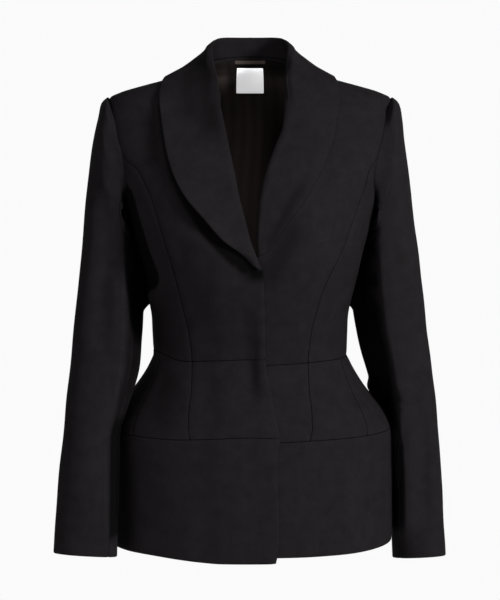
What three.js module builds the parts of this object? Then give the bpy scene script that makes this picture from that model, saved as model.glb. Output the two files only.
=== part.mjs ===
// A fitted, hip length tailored jacket with a shawl collar, a waist seam and a padded hip yoke.
// It is filled out as if worn, and it is empty: neck, hem and cuffs are open.
// Millimetres, +Z up, front towards -Y. The origin lies midway between the shoulders, level
// with the side of the neck. "right" and "left" are the wearer's, so right is -X.
import * as THREE from "three";

const { abs, asin, cos, hypot, max, min, PI, sin, sign } = Math;

// Driving dimensions
const CLOTH = 1.8; // interlined wool wall
const LINING = 0.9; // satin wall
const LINING_CLEAR = 2; // between the lining and the cloth it hangs inside
const SEAM = 0.3; // space between two pieces at a seam
const SIDES = { right: -1, left: 1 };

const WAIST = -390; // level of the waist seam at the sides
const HIP = -486; // level of the hip seam at the sides
const NAPE = 10; // top of the back panels at the centre back
const NECK_POINT = { x: 66, z: -6 }; // inner end of the shoulder seam
const ARMHOLE = { top: -45, bottom: -187, front: 64, back: 58, lean: 0.255 };
const BUST = { x: 85, z: -243, fullness: 8, wide: 38, high: 42 };
const OVERLAP = 3; // how far the upper front stands off the lower one
const COLLAR_STEP = 24; // sections further apart get another between them
const NECK_SEAM = 0.9; // how far the collar starts from the edge it is sewn to
const UNDERLAP = 22; // how far the lower front runs past the centre front

// Torso sections: half width, depth of the back from the axis, and squareness. The first one
// is the top of the collar's stand.
const BODICE = [
  { z: 36, half: 47, back: 57.5, square: 2.2 },
  { z: 12, half: 57, back: 60, square: 2.2 },
  { z: -6, half: 66, back: 63, square: 2.2 },
  { z: -14, half: 91, back: 68, square: 2.25 },
  { z: -22, half: 118, back: 72, square: 2.3 },
  { z: -29.5, half: 146, back: 76, square: 2.35 },
  { z: -38, half: 174, back: 80, square: 2.4 },
  { z: -45, half: 187, back: 83, square: 2.45 },
  { z: -70, half: 196, back: 93, square: 2.6 },
  { z: -92, half: 197, back: 99, square: 2.7 },
  { z: -116, half: 191, back: 104, square: 2.75 },
  { z: -160, half: 176, back: 108, square: 2.6 },
  { z: -187, half: 170, back: 107, square: 2.45 },
  { z: -215, half: 162.5, back: 104, square: 2.35 },
  { z: -245, half: 153.5, back: 100, square: 2.3 },
  { z: -270, half: 147, back: 95, square: 2.25 },
  { z: -302, half: 139.5, back: 88, square: 2.2 },
  { z: -343, half: 132, back: 80, square: 2.2 },
  { z: WAIST, half: 130.7, back: 75, square: 2.2 },
];
const YOKE = [
  { z: WAIST, half: 130.7, back: 75, square: 2.2 },
  { z: -410, half: 140.5, back: 84, square: 2.2 },
  { z: -427, half: 151, back: 93, square: 2.2 },
  { z: -443, half: 163, back: 103, square: 2.25 },
  { z: -460, half: 177.5, back: 114, square: 2.25 },
  { z: -472, half: 185, back: 120, square: 2.3 },
  { z: HIP, half: 191.5, back: 125, square: 2.3 },
];
const BAND = [
  { z: HIP, half: 191.5, back: 125, square: 2.3 },
  { z: -530, half: 192.3, back: 127.5, square: 2.3 },
  { z: -585, half: 193, back: 128, square: 2.3 },
  { z: -650, half: 193.3, back: 128, square: 2.3 },
];

// Depth of the front from the axis, which runs smoothly past the seams
const FRONT_DEPTH = [
  { z: 36, deep: 12 },
  { z: 12, deep: 24 },
  { z: -6, deep: 31 },
  { z: -22, deep: 45 },
  { z: -45, deep: 59 },
  { z: -92, deep: 85 },
  { z: -140, deep: 104 },
  { z: -187, deep: 117 },
  { z: -245, deep: 125 },
  { z: -302, deep: 113 },
  { z: -343, deep: 99 },
  { z: -388, deep: 90 },
  { z: -427, deep: 105 },
  { z: -460, deep: 121 },
  { z: -490, deep: 128 },
  { z: -560, deep: 129 },
  { z: -650, deep: 127 },
];

// Distance of the princess seams from the centre, front and back
const PRINCESS = [
  { z: -130, front: 159, back: 168 },
  { z: -150, front: 147.5, back: 157 },
  { z: -175, front: 136, back: 142 },
  { z: -200, front: 126.5, back: 128 },
  { z: -230, front: 116, back: 112 },
  { z: -260, front: 105.5, back: 98 },
  { z: -290, front: 96, back: 86 },
  { z: -320, front: 87.5, back: 76 },
  { z: -350, front: 80.5, back: 69 },
  { z: WAIST, front: 76.5, back: 65 },
  { z: -440, front: 76, back: 68 },
  { z: HIP, front: 78, back: 72 },
];
const SIDE_FRONT = { waist: 121.5, hip: 155 }; // yoke seam between princess seam and side

// How far the upper front's edge lies past the centre front
const FRONT_EDGE = [
  { z: -262, x: 13.5 },
  { z: -295, x: 15.5 },
  { z: -340, x: 17 },
  { z: -384, x: 18 },
  { z: -408, x: 21.5 },
  { z: -424, x: 25.3 },
  { z: -451, x: 30.5 },
  { z: -482, x: 36.5 },
  { z: -509, x: 33.5 },
  { z: -562, x: 34.5 },
  { z: -615, x: 35.5 },
  { z: -646, x: 32 },
];
// Levels of the seams at the front edges: the upper front hangs a little askew
const SEAM_LEVELS = {
  right: { waist: -384, hip: -480.5, hem: -645.5 },
  left: { waist: -392, hip: -488, hem: -639.5 },
};
const SIDE_HEM = -640;

// Collar sections from the centre back to the break point. Each runs from the neck seam over
// the roll line to the collar's edge. x is positive towards the section's own side.
const COLLAR_BACK = [
  { neck: [0.3, NAPE], roll: [0.3, 57, 35], edge: [0.3, 72, -15], lift: 2.8 },
  { neck: [14, 9.8], roll: [12.5, 56.5, 35], edge: [19, 72, -15.5], lift: 2.8 },
  { neck: [27, 9], roll: [24, 53.5, 35], edge: [38, 71, -17], lift: 2.8 },
  { neck: [39, 7.2], roll: [35, 46, 34.8], edge: [58, 68, -19.5], lift: 2.8 },
  { neck: [49, 5], roll: [43.5, 36, 33.5], edge: [78, 60, -22], lift: 2.8 },
  { neck: [60, -0.5], roll: [48.5, 20, 29.5], edge: [96, 42, -22], lift: 2.8 },
  { neck: [NECK_POINT.x, NECK_POINT.z], roll: [50.5, 5, 21], edge: [107, 18, -18], lift: 2.8 },
];
const LAPELS = {
  right: [
    { neck: [60, -16], roll: [47.5, -9, 2], edge: [112, -10, -21], lift: 2.6 },
    { neck: [52.5, -36], roll: [42, -30, -29], edge: [114, -40, -48], lift: 2.8 },
    { neck: [42, -61], roll: [37.2, 0, -60], edge: [113, 0, -72], lift: 3 },
    { neck: [36.2, -86], roll: [31.8, 0, -85], edge: [109.5, 0, -94], lift: 3.2 },
    { neck: [30.4, -112], roll: [26.5, 0, -111], edge: [103.5, 0, -120], lift: 3.8 },
    { neck: [23.5, -143], roll: [19.9, 0, -142], edge: [92.5, 0, -149], lift: 4.6 },
    { neck: [16.9, -174.5], roll: [13.5, 0, -174], edge: [77, 0, -175], lift: 5.4 },
    { neck: [10.3, -199.5], roll: [7, 0, -199], edge: [57, 0, -199], lift: 5.8 },
    { neck: [3.9, -224.5], roll: [0.6, 0, -224], edge: [33, 0, -225.5], lift: 5 },
    { neck: [-3.7, -245], roll: [-7, 0, -244.5], edge: [8, 0, -243], lift: 3.6 },
    { neck: [-10, -262], roll: [-13.5, 0, -261], edge: [-4.5, 0, -255], lift: 2.8 },
  ],
  left: [
    { neck: [60, -16], roll: [48.5, -9, 2], edge: [111, -10, -20], lift: 2.6 },
    { neck: [54, -37], roll: [46.2, -30, -28], edge: [112.5, -38, -46], lift: 2.8 },
    { neck: [49.3, -63], roll: [44.8, 0, -62], edge: [111, 0, -70], lift: 2.6 },
    { neck: [45.8, -87], roll: [41.8, 0, -85], edge: [107.5, 0, -92], lift: 2.6 },
    { neck: [39, -102.5], roll: [35, 0, -101], edge: [101.5, 0, -112], lift: 2.6 },
    { neck: [28.9, -128], roll: [25.1, 0, -127], edge: [90, 0, -137], lift: 2.6 },
    { neck: [22.3, -148], roll: [18.6, 0, -147], edge: [79, 0, -156], lift: 2.6 },
    { neck: [17.1, -173.5], roll: [13.5, 0, -173], edge: [64, 0, -180], lift: 2.6 },
    { neck: [14.3, -199.5], roll: [10.9, 0, -199], edge: [48, 0, -201], lift: 2.6 },
    { neck: [13.6, -224.5], roll: [10.2, 0, -224], edge: [31, 0, -226], lift: 2.6 },
    { neck: [14.6, -243], roll: [11.4, 0, -242.5], edge: [20, 0, -239], lift: 2.4 },
  ],
};

// Sleeve sections below the armhole: outer and inner point seen from the front, the middle's
// place from front to back, and the half depth
const SLEEVES = {
  right: [
    { outer: [191, -44.6], inner: [171.8, -188.5], mid: 0, depth: 58, lean: 0, rise: 0 },
    { outer: [197.5, -50.5], inner: [174, -192], mid: 0, depth: 60.5, lean: 0, rise: 0 },
    { outer: [202.3, -70], inner: [174, -199], mid: 0, depth: 62, lean: 4, rise: 0 },
    { outer: [208.3, -100], inner: [171, -211], mid: -1, depth: 62.5, lean: 10, rise: 0 },
    { outer: [215.7, -145], inner: [161.5, -228], mid: -3, depth: 61, lean: 32, rise: 0 },
    { outer: [220.7, -195], inner: [153, -250], mid: -5, depth: 58.5, lean: 36, rise: 0 },
    { outer: [225.4, -248], inner: [145, -280], mid: -9, depth: 55.5, lean: 40, rise: 0 },
    { outer: [228.4, -277], inner: [140.3, -300], mid: -12, depth: 53.5, lean: 42, rise: 0 },
    { outer: [231, -305], inner: [143.5, -322], mid: -16, depth: 51.5, lean: 30, rise: 0 },
    { outer: [236.3, -358], inner: [145, -362], mid: -29, depth: 48.5, lean: 16, rise: 0 },
    { outer: [240.2, -405], inner: [148, -405], mid: -46, depth: 46, lean: 6, rise: 0 },
    { outer: [243, -445], inner: [159, -445], mid: -65, depth: 43.5, lean: 0, rise: 0 },
    { outer: [245.8, -483], inner: [170, -480], mid: -83, depth: 41.5, lean: 0, rise: 0 },
    { outer: [249.9, -525], inner: [171.5, -522], mid: -93, depth: 40, lean: 0, rise: 2 },
    { outer: [254.8, -585], inner: [173, -586], mid: -98, depth: 38.5, lean: 0, rise: 4 },
    { outer: [259, -637.8], inner: [175.4, -643.5], mid: -100, depth: 37.5, lean: 0, rise: 7 },
  ],
  left: [
    { outer: [191, -44.6], inner: [171.8, -188.5], mid: 0, depth: 58, lean: 0, rise: 0 },
    { outer: [197.5, -50.5], inner: [174, -192], mid: 0, depth: 60.5, lean: 0, rise: 0 },
    { outer: [202.2, -70], inner: [174, -199], mid: 1, depth: 62, lean: 4, rise: 0 },
    { outer: [205.8, -100], inner: [171.5, -211], mid: 1, depth: 62.5, lean: 10, rise: 0 },
    { outer: [212.5, -145], inner: [161.5, -228], mid: 0, depth: 61, lean: 30, rise: 0 },
    { outer: [218.6, -195], inner: [153, -250], mid: 1, depth: 58.5, lean: 30, rise: 0 },
    { outer: [225.6, -248], inner: [145, -280], mid: 0, depth: 55.5, lean: 31, rise: 0 },
    { outer: [229.4, -277], inner: [140.3, -300], mid: 0, depth: 53.5, lean: 31, rise: 0 },
    { outer: [233, -305], inner: [139.5, -322], mid: -1, depth: 51.5, lean: 26, rise: 0 },
    { outer: [239.3, -358], inner: [145.5, -366], mid: -1, depth: 49, lean: 22, rise: 0 },
    { outer: [245.8, -405], inner: [157.5, -409], mid: 0, depth: 48, lean: 24, rise: 0 },
    { outer: [251.5, -445], inner: [169, -445], mid: 3, depth: 48.5, lean: 37, rise: 0 },
    { outer: [255.8, -485], inner: [191, -485], mid: 6, depth: 49, lean: 36, rise: 0 },
    { outer: [259.9, -530], inner: [194, -530], mid: 8, depth: 45.5, lean: 34, rise: 0 },
    { outer: [264.2, -597], inner: [195, -599], mid: 8, depth: 41, lean: 28, rise: 3 },
    { outer: [269, -669], inner: [197, -675.5], mid: 8, depth: 38.5, lean: 12, rise: 7 },
  ],
};

const LABEL = { x: 18.5, top: -4.5, bottom: -37, thick: 0.6 };
const LOOP = { x: 22, bottom: 1.2, top: 5.2, thick: 0.6 };

// How many cells each stretch of the cloth is divided into
const CELLS = {
  hinge: 8, // front edge below the break point
  princess: 14,
  armhole: 5, // front or back part of the armhole above the princess seam
  underarm: 14,
  front: 5, // from front edge to princess seam
  sideFront: 4,
  sideBack: 10,
  yoke: 6,
  band: 5,
  bandSide: 4, // hip seam from the side front seam to the side
};
CELLS.neck = COLLAR_BACK.length - 1;
CELLS.back = CELLS.neck + CELLS.front;

const steps = (count) => Array.from({ length: count + 1 }, (_, i) => i / count);
const mix = (a, b, t) => a + (b - a) * t;
const mixPoint = (a, b, t) => a.map((v, i) => mix(v, b[i], t));
const smooth = (t) => {
  const c = max(0, min(1, t));
  return c * c * (3 - 2 * c);
};

// A curve through the rows of a table that never overshoots them
function track(table) {
  const rows = [...table].sort((a, b) => a.z - b.z);
  const keys = Object.keys(rows[0]).filter((key) => key !== "z");
  const slopes = {};
  for (const key of keys) {
    const rise = rows.slice(1).map((row, i) => (row[key] - rows[i][key]) / (row.z - rows[i].z));
    slopes[key] = rows.map((_, i) => {
      if (i === 0) return rise[0];
      if (i === rows.length - 1) return rise[i - 1];
      const [a, b] = [rise[i - 1], rise[i]];
      return a * b <= 0 ? 0 : (2 * a * b) / (a + b);
    });
  }
  return (z) => {
    const at = max(rows[0].z, min(rows[rows.length - 1].z, z));
    const i = max(0, min(rows.length - 2, rows.findIndex((row) => row.z >= at) - 1));
    const span = rows[i + 1].z - rows[i].z;
    const t = (at - rows[i].z) / span;
    const value = {};
    for (const key of keys) {
      const bend = slopes[key];
      value[key] =
        rows[i][key] * (1 + 2 * t) * (1 - t) ** 2 +
        bend[i] * span * t * (1 - t) ** 2 +
        rows[i + 1][key] * t * t * (3 - 2 * t) -
        bend[i + 1] * span * t * t * (1 - t);
    }
    return value;
  };
}

const bodiceAt = track(BODICE);
const yokeAt = track(YOKE);
const bandAt = track(BAND);
const frontDepthAt = track(FRONT_DEPTH);
const princessAt = track(PRINCESS);
const frontEdgeAt = track(FRONT_EDGE);

function torsoAt(z) {
  const section = z > WAIST ? bodiceAt(z) : z > HIP ? yokeAt(z) : bandAt(z);
  return { ...section, front: frontDepthAt(z).deep };
}

const bustAt = (x, z) =>
  BUST.fullness *
  Math.exp(-((abs(x) - BUST.x) ** 2) / (2 * BUST.wide ** 2) - (z - BUST.z) ** 2 / (2 * BUST.high ** 2));

// The torso's outer cloth surface, by distance from the centre or by turn from the front
function onFace(x, z, face) {
  const section = torsoAt(z);
  const share = max(0, 1 - (abs(x) / section.half) ** section.square) ** (1 / section.square);
  return face < 0 ? -(section.front + bustAt(x, z)) * share : section.back * share;
}
function atTurn(turn, z) {
  const section = torsoAt(z);
  const x = section.half * sign(sin(turn)) * abs(sin(turn)) ** (2 / section.square);
  const share = abs(cos(turn)) ** (2 / section.square);
  const y = cos(turn) > 0 ? -(section.front + bustAt(x, z)) * share : section.back * share;
  return [x, y, z];
}
function turnOf(x, z, face) {
  const section = torsoAt(z);
  const turn = asin(min(1, (abs(x) / section.half) ** (section.square / 2)));
  return sign(x || 1) * (face < 0 ? turn : PI - turn);
}

// The armhole seam: an oval seen from the side, lying on the torso. way 0 is its top, a
// quarter turn its front and half a turn its bottom.
function armhole(way) {
  const middle = (ARMHOLE.top + ARMHOLE.bottom) / 2;
  const z = middle + ((ARMHOLE.top - ARMHOLE.bottom) / 2) * cos(way);
  const face = sin(way) >= 0 ? -1 : 1;
  const y = face < 0 ? ARMHOLE.front * sin(way - ARMHOLE.lean * sin(way)) : -ARMHOLE.back * sin(way);
  const section = torsoAt(z);
  const depth = face < 0 ? section.front : section.back;
  const x = section.half * (1 - (y / depth) ** section.square) ** (1 / section.square);
  return { x, z, face };
}
const ARMHOLE_WAYS = [
  ...steps(CELLS.armhole).map((t) => (t * PI) / 2),
  ...steps(CELLS.underarm).slice(1, -1).map((t) => PI / 2 + t * PI),
  ...steps(CELLS.armhole).slice(0, -1).map((t) => (3 * PI) / 2 + (t * PI) / 2),
];

// A four sided patch between its border polylines, bottom and top running one way
function patch(bottom, top, left, right) {
  const across = bottom.length - 1;
  const up = left.length - 1;
  return left.map((_, r) =>
    bottom.map((__, k) => {
      const [s, t] = [k / across, r / up];
      return bottom[k].map(
        (___, c) =>
          mix(bottom[k][c], top[k][c], t) +
          mix(left[r][c], right[r][c], s) -
          mix(mix(bottom[0][c], bottom[across][c], s), mix(top[0][c], top[across][c], s), t),
      );
    }),
  );
}

// Draws the borders named in sides back by half a seam: b bottom, t top, l left, r right
function trim(grid, sides) {
  const [up, across] = [grid.length - 1, grid[0].length - 1];
  const draw = (r, k, r2, k2) => {
    const [a, b] = [grid[r][k], grid[r2][k2]];
    const long = hypot(...a.map((v, i) => b[i] - v));
    grid[r][k] = mixPoint(a, b, SEAM / 2 / long);
  };
  for (let r = 0; r <= up; r++) {
    if (sides.includes("l")) draw(r, 0, r, 1);
    if (sides.includes("r")) draw(r, across, r, across - 1);
  }
  for (let k = 0; k <= across; k++) {
    if (sides.includes("b")) draw(0, k, 1, k);
    if (sides.includes("t")) draw(up, k, up - 1, k);
  }
  return grid;
}

// Normals of a grid, turned away from hub(point). A closed grid's rows run all the way round.
function normalsOf(grid, hub, closed = false) {
  const [rows, columns] = [grid.length, grid[0].length];
  const at = (r, k) => {
    const column = closed ? (k + columns) % columns : max(0, min(columns - 1, k));
    return new THREE.Vector3(...grid[max(0, min(rows - 1, r))][column]);
  };
  let agree = 0;
  const normals = grid.map((row, r) =>
    row.map((point, k) => {
      const alongRow = at(r, k + 1).sub(at(r, k - 1));
      const normal = at(r + 1, k).sub(at(r - 1, k)).cross(alongRow).normalize();
      agree += normal.dot(new THREE.Vector3(...point).sub(new THREE.Vector3(...hub(point, r))));
      return normal.toArray();
    }),
  );
  return agree < 0 ? normals.map((row) => row.map((n) => n.map((v) => -v))) : normals;
}

// A closed wall on a grid of points, with its faces at two offsets along the grid's normals
function wall(grid, from, to, normals) {
  const [up, across] = [grid.length - 1, grid[0].length - 1];
  const positions = [];
  for (const offset of [from, to]) {
    grid.forEach((row, r) =>
      row.forEach((point, k) => {
        const n = normals[r][k];
        positions.push(...point.map((v, i) => v + n[i] * offset));
      }),
    );
  }
  const count = (up + 1) * (across + 1);
  const id = (r, k, layer) => r * (across + 1) + k + layer * count;
  const faces = [];
  const quad = (a, b, c, d) => faces.push(a, b, c, a, c, d);
  for (let r = 0; r < up; r++) {
    for (let k = 0; k < across; k++) {
      quad(id(r, k, 0), id(r + 1, k, 0), id(r + 1, k + 1, 0), id(r, k + 1, 0));
      quad(id(r, k, 1), id(r, k + 1, 1), id(r + 1, k + 1, 1), id(r + 1, k, 1));
    }
  }
  for (let k = 0; k < across; k++) {
    quad(id(0, k, 0), id(0, k + 1, 0), id(0, k + 1, 1), id(0, k, 1));
    quad(id(up, k, 1), id(up, k + 1, 1), id(up, k + 1, 0), id(up, k, 0));
  }
  for (let r = 0; r < up; r++) {
    quad(id(r, 0, 1), id(r + 1, 0, 1), id(r + 1, 0, 0), id(r, 0, 0));
    quad(id(r, across, 0), id(r + 1, across, 0), id(r + 1, across, 1), id(r, across, 1));
  }
  return closedGeometry(positions, faces);
}

function closedGeometry(positions, faces) {
  const corner = (i) => new THREE.Vector3(...positions.slice(3 * i, 3 * i + 3));
  let volume = 0;
  for (let i = 0; i < faces.length; i += 3) {
    volume += corner(faces[i]).dot(corner(faces[i + 1]).cross(corner(faces[i + 2])));
  }
  const index = volume < 0 ? [...faces].reverse() : faces;
  const geometry = new THREE.BufferGeometry();
  geometry.setAttribute("position", new THREE.Float32BufferAttribute(positions, 3));
  geometry.setIndex(index);
  geometry.computeVertexNormals();
  return geometry;
}

// The torso cloth's own direction outwards, kept level where a seam makes a ridge or a groove
function outward(point) {
  const { out } = heightAbove(point);
  const level = smooth(abs(point[2] - HIP) / 16) * smooth(abs(point[2] - WAIST) / 10);
  const lean = [out[0], out[1], out[2] * level];
  const long = hypot(...lean);
  return lean.map((v) => v / long);
}
const torsoWall = (grid, from = 0, to = -CLOTH) =>
  wall(grid, from, to, grid.map((row) => row.map(outward)));

// How far a front stands off the torso: only the upper, right front does, near its edge
function standOff(x, z, side) {
  if (side > 0) return 0;
  return OVERLAP * smooth((x + 64) / 30) * smooth((-222 - z) / 24);
}

// Levels of the waist seam, hip seam and hem round the jacket. The waist seam is drawn up a
// little at the right side.
function seamLevel(name, x, face, side) {
  const drawnUp = name === "waist" && side === "right" ? 9 * smooth((abs(x) - 88) / 38) : 0;
  const level = { waist: WAIST, hip: HIP, hem: SIDE_HEM }[name] + drawnUp;
  if (face > 0) return level;
  const reach = name === "hem" ? 150 : 110;
  return mix(level, SEAM_LEVELS[side][name], smooth((reach - abs(x)) / 110));
}
const outerX = (name, side) => {
  if (side === "left") return -UNDERLAP;
  return -frontEdgeAt(SEAM_LEVELS.right[name]).x;
};

// Turns at which the columns of cloth cross a seam, from the front edge to the centre back
function seamTurns(name, side) {
  const level = { waist: WAIST, hip: HIP, hem: SIDE_HEM }[name];
  const at = max(level, HIP);
  const sideFront = name === "waist" ? SIDE_FRONT.waist : SIDE_FRONT.hip;
  const stops = [
    { turn: turnOf(outerX(name, side), level, -1), cells: CELLS.front },
    { turn: turnOf(princessAt(at).front, level, -1), cells: CELLS.sideFront },
    { turn: turnOf(sideFront, level, -1), cells: CELLS.bandSide },
    { turn: PI / 2, cells: CELLS.sideBack - CELLS.bandSide },
    { turn: turnOf(princessAt(at).back, level, 1), cells: CELLS.back },
    { turn: PI, cells: 0 },
  ];
  const turns = [stops[0].turn];
  stops.slice(0, -1).forEach((stop, i) => {
    for (let n = 1; n <= stop.cells; n++) turns.push(mix(stop.turn, stops[i + 1].turn, n / stop.cells));
  });
  return turns;
}
function seamPoints(name, side) {
  const level = { waist: WAIST, hip: HIP, hem: SIDE_HEM }[name];
  return seamTurns(name, side).map((turn) => {
    const face = cos(turn) > 0 ? -1 : 1;
    return [turn, seamLevel(name, atTurn(turn, level)[0], face, side)];
  });
}
const COLUMN = { front: 0, princess: CELLS.front };
COLUMN.sideFront = COLUMN.princess + CELLS.sideFront;
COLUMN.side = COLUMN.sideFront + CELLS.bandSide;
COLUMN.backPrincess = COLUMN.sideFront + CELLS.sideBack;
COLUMN.back = COLUMN.backPrincess + CELLS.back;

// Places a patch of turns and levels on the torso. Turns count towards the panel's own side.
const placeTurns = (grid, side) =>
  grid.map((row) =>
    row.map(([turn, z]) => {
      const [x, y] = atTurn(turn, z);
      const own = SIDES[side] * x;
      return [own, y - (y < 0 ? standOff(own, z, SIDES[side]) : 0), z];
    }),
  );
const placeFace = (grid, side, face) =>
  grid.map((row) =>
    row.map(([x, z]) => {
      const own = SIDES[side] * x;
      return [own, onFace(x, z, face) - (face < 0 ? standOff(own, z, SIDES[side]) : 0), z];
    }),
  );
const asPlace = ([turn, z]) => [atTurn(turn, z)[0], z];

// The front princess seams lie askew above the waist, both towards the left sleeve
function princessShift(z, face, side) {
  if (face > 0) return 0;
  if (side === "right") return -8.5 * max(0, min(1, (z + 330) / 160));
  return 8.5 * smooth((z + 300) / 70) * (1 - smooth((z + 165) / 35));
}

// Seams that run up the bodice, from the waist
const princessSeam = (face, side) => {
  const join = armhole(face < 0 ? PI / 2 : (3 * PI) / 2);
  const key = face < 0 ? "front" : "back";
  const waist = seamLevel("waist", princessAt(WAIST)[key], face, side);
  return steps(CELLS.princess).map((t) => {
    const z = mix(waist, join.z, t);
    if (t === 1) return [join.x, z];
    const nearTop = smooth((z + 138) / (join.z + 138));
    return [mix(princessAt(z)[key] + princessShift(z, face, side), join.x, nearTop), z];
  });
};
const armholeSeam = (face) =>
  steps(CELLS.armhole).map((t) => {
    const point = armhole(face < 0 ? (PI / 2) * (1 - t) : (3 * PI) / 2 + (PI / 2) * t);
    return [point.x, point.z];
  });
const shoulderSeam = () =>
  steps(CELLS.front).map((t) => {
    const z = mix(NECK_POINT.z, ARMHOLE.top, t);
    return [bodiceAt(z).half, z];
  });
const neckSeam = (side) => [COLLAR_BACK[COLLAR_BACK.length - 1], ...LAPELS[side]].map((row) => row.neck);

function frontBodice(side) {
  const bottom = seamPoints("waist", side).slice(0, COLUMN.princess + 1).map(asPlace);
  const breakPoint = neckSeam(side).at(-1);
  const lowest = side === "left" ? [-UNDERLAP, breakPoint[1] - 24] : breakPoint;
  const cells = side === "left" ? CELLS.hinge - 1 : CELLS.hinge;
  const hinge = steps(cells).map((t) => {
    const z = mix(bottom[0][1], lowest[1], t);
    const edge = side === "left" ? -UNDERLAP : -frontEdgeAt(z).x;
    return t === 1 ? lowest : [edge, z];
  });
  const left = [...hinge, ...neckSeam(side).reverse().slice(side === "left" ? 0 : 1)];
  const right = [...princessSeam(-1, side), ...armholeSeam(-1).slice(1)];
  const grid = patch(bottom, shoulderSeam(), left, right);
  return torsoWall(trim(placeFace(grid, side, -1), "btrl"));
}

function sideBodice(side) {
  const bottom = seamPoints("waist", side).slice(COLUMN.princess, COLUMN.backPrincess + 1);
  const top = steps(CELLS.underarm).map((t) => {
    const point = armhole(PI / 2 + t * PI);
    return [turnOf(point.x, point.z, t <= 0.5 ? -1 : 1), point.z];
  });
  const up = (face) => princessSeam(face, side).map(([x, z]) => [turnOf(x, z, face), z]);
  const grid = patch(bottom, top, up(-1), up(1));
  return torsoWall(trim(placeTurns(grid, side), "btrl"));
}

function backBodice(side) {
  const bottom = seamPoints("waist", side).slice(COLUMN.backPrincess).reverse().map(asPlace);
  bottom[0][0] = 0;
  const neck = COLLAR_BACK.map((row) => row.neck);
  const top = [[0, NAPE], ...neck.slice(1), ...shoulderSeam().slice(1)];
  const right = [...princessSeam(1, side), ...armholeSeam(1).slice(1)];
  const left = right.map((_, i) => [0, mix(WAIST, NAPE, (right[i][1] - WAIST) / (ARMHOLE.top - WAIST))]);
  const grid = patch(bottom, top, left, right);
  return torsoWall(trim(placeFace(grid, side, 1), "btrl"));
}

// A panel of the yoke or the band between two of the level seams
function belt(side, above, below, first, last, cells, trims) {
  const top = seamPoints(above, side).slice(first, last + 1);
  const bottom = seamPoints(below, side).slice(first, last + 1);
  const atFrontEdge = first === COLUMN.front && side === "right";
  const border = (a, b, edge) =>
    steps(cells).map((t) => {
      const z = mix(a[1], b[1], t);
      return edge ? [turnOf(-frontEdgeAt(z).x, z, -1), z] : [mix(a[0], b[0], t), z];
    });
  const left = border(bottom[0], top[0], atFrontEdge);
  const right = border(bottom.at(-1), top.at(-1), false);
  bottom[0] = left[0];
  top[0] = left.at(-1);
  const grid = placeTurns(patch(bottom, top, left, right), side);
  return trim(grid, trims);
}

function bandBack() {
  const half = (side) => belt(side, "hip", "hem", COLUMN.side, COLUMN.back, CELLS.band, "tl");
  const [left, right] = [half("left"), half("right")];
  const grid = left.map((row, r) => [...row, ...[...right[r]].reverse().slice(1)]);
  return torsoWall(grid);
}

// Height of a point above the torso's cloth, and the way up from it
function heightAbove(point) {
  const measure = ([x, y, z]) => {
    const section = torsoAt(z);
    const depth = y < 0 ? section.front + bustAt(x, z) : section.back;
    return (abs(x / section.half) ** section.square + abs(y / depth) ** section.square) ** (1 / section.square) - 1;
  };
  const probe = 0.5;
  const slope = [0, 1, 2].map((axis) => {
    const moved = (way) => point.map((v, i) => v + (i === axis ? way * probe : 0));
    return (measure(moved(1)) - measure(moved(-1))) / (2 * probe);
  });
  const steep = hypot(...slope);
  return { height: measure(point) / steep, out: slope.map((v) => v / steep) };
}

// Moves a point off the torso's cloth to the height given, or only when it lies lower
function restAbove(point, height, onlyRaise) {
  let moved = point;
  for (let turn = 0; turn < 12; turn++) {
    const found = heightAbove(moved);
    if (onlyRaise && found.height >= height) return moved;
    const push = max(-4, min(4, height - found.height));
    moved = moved.map((v, i) => v + found.out[i] * push);
  }
  return moved;
}

// One collar section in space, from the neck seam over the roll line to the edge
function collarSection(row, side) {
  const own = SIDES[side];
  const inFront = row.roll[1] === 0;
  const lifted = (x, z) => standOff(own * x, z, own);
  const face = row.edge[1] <= 0 && row.roll[2] < NECK_POINT.z + 20 ? -1 : 1;
  const [neckX, neckZ] = row.neck;
  const neckY = onFace(neckX, neckZ, face);
  const inside = 1 - CLOTH / 2 / hypot(neckX, neckY);
  const neck = inFront
    ? [neckX - NECK_SEAM, neckY + CLOTH / 2 - lifted(neckX, neckZ), neckZ]
    : [neckX * inside, neckY * inside, neckZ + NECK_SEAM];
  const rollHeight = 1.6;
  const roll = inFront
    ? [row.roll[0], onFace(row.roll[0], row.roll[2], -1) - rollHeight - lifted(row.roll[0], row.roll[2]), row.roll[2]]
    : row.roll;
  const edgeY = inFront ? onFace(row.edge[0], row.edge[2], -1) : row.edge[1];
  const edge = restAbove([row.edge[0], edgeY, row.edge[2]], row.lift + lifted(row.edge[0], row.edge[2]), false);
  const crown = 1.6;
  const fall = [0.045, 0.2, 0.45, 0.72].map((t) => {
    const point = mixPoint(roll, edge, t);
    const height = mix(3.4, row.lift, t) + crown * sin(PI * t) + lifted(point[0], point[2]);
    return restAbove(point, height, true);
  });
  const stand = mixPoint(neck, roll, 0.55);
  const section = [neck, stand, roll, ...fall, edge];
  return section.map(([x, y, z]) => [own * x, y, z]);
}

// One more section wherever two stand far apart, lying on the cloth below like the others
function collarGrid(side) {
  const sections = [...COLLAR_BACK, ...LAPELS[side]].map((row) => collarSection(row, side));
  const grid = [sections[0]];
  sections.slice(1).forEach((next, i) => {
    const last = sections[i];
    const far = hypot(...next.at(-1).map((v, axis) => v - last.at(-1)[axis]));
    if (far > COLLAR_STEP) {
      grid.push(
        next.map((point, k) => {
          const middle = mixPoint(last[k], point, 0.5);
          if (k < 3) return middle;
          const height = (heightAbove(last[k]).height + heightAbove(point).height) / 2;
          return restAbove(middle, height, true);
        }),
      );
    }
    grid.push(next);
  });
  return grid;
}

function collar(side) {
  const grid = collarGrid(side);
  return wall(trim(grid, "b"), CLOTH / 2, -CLOTH / 2, normalsOf(grid, () => [0, 0, 0]));
}

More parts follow.
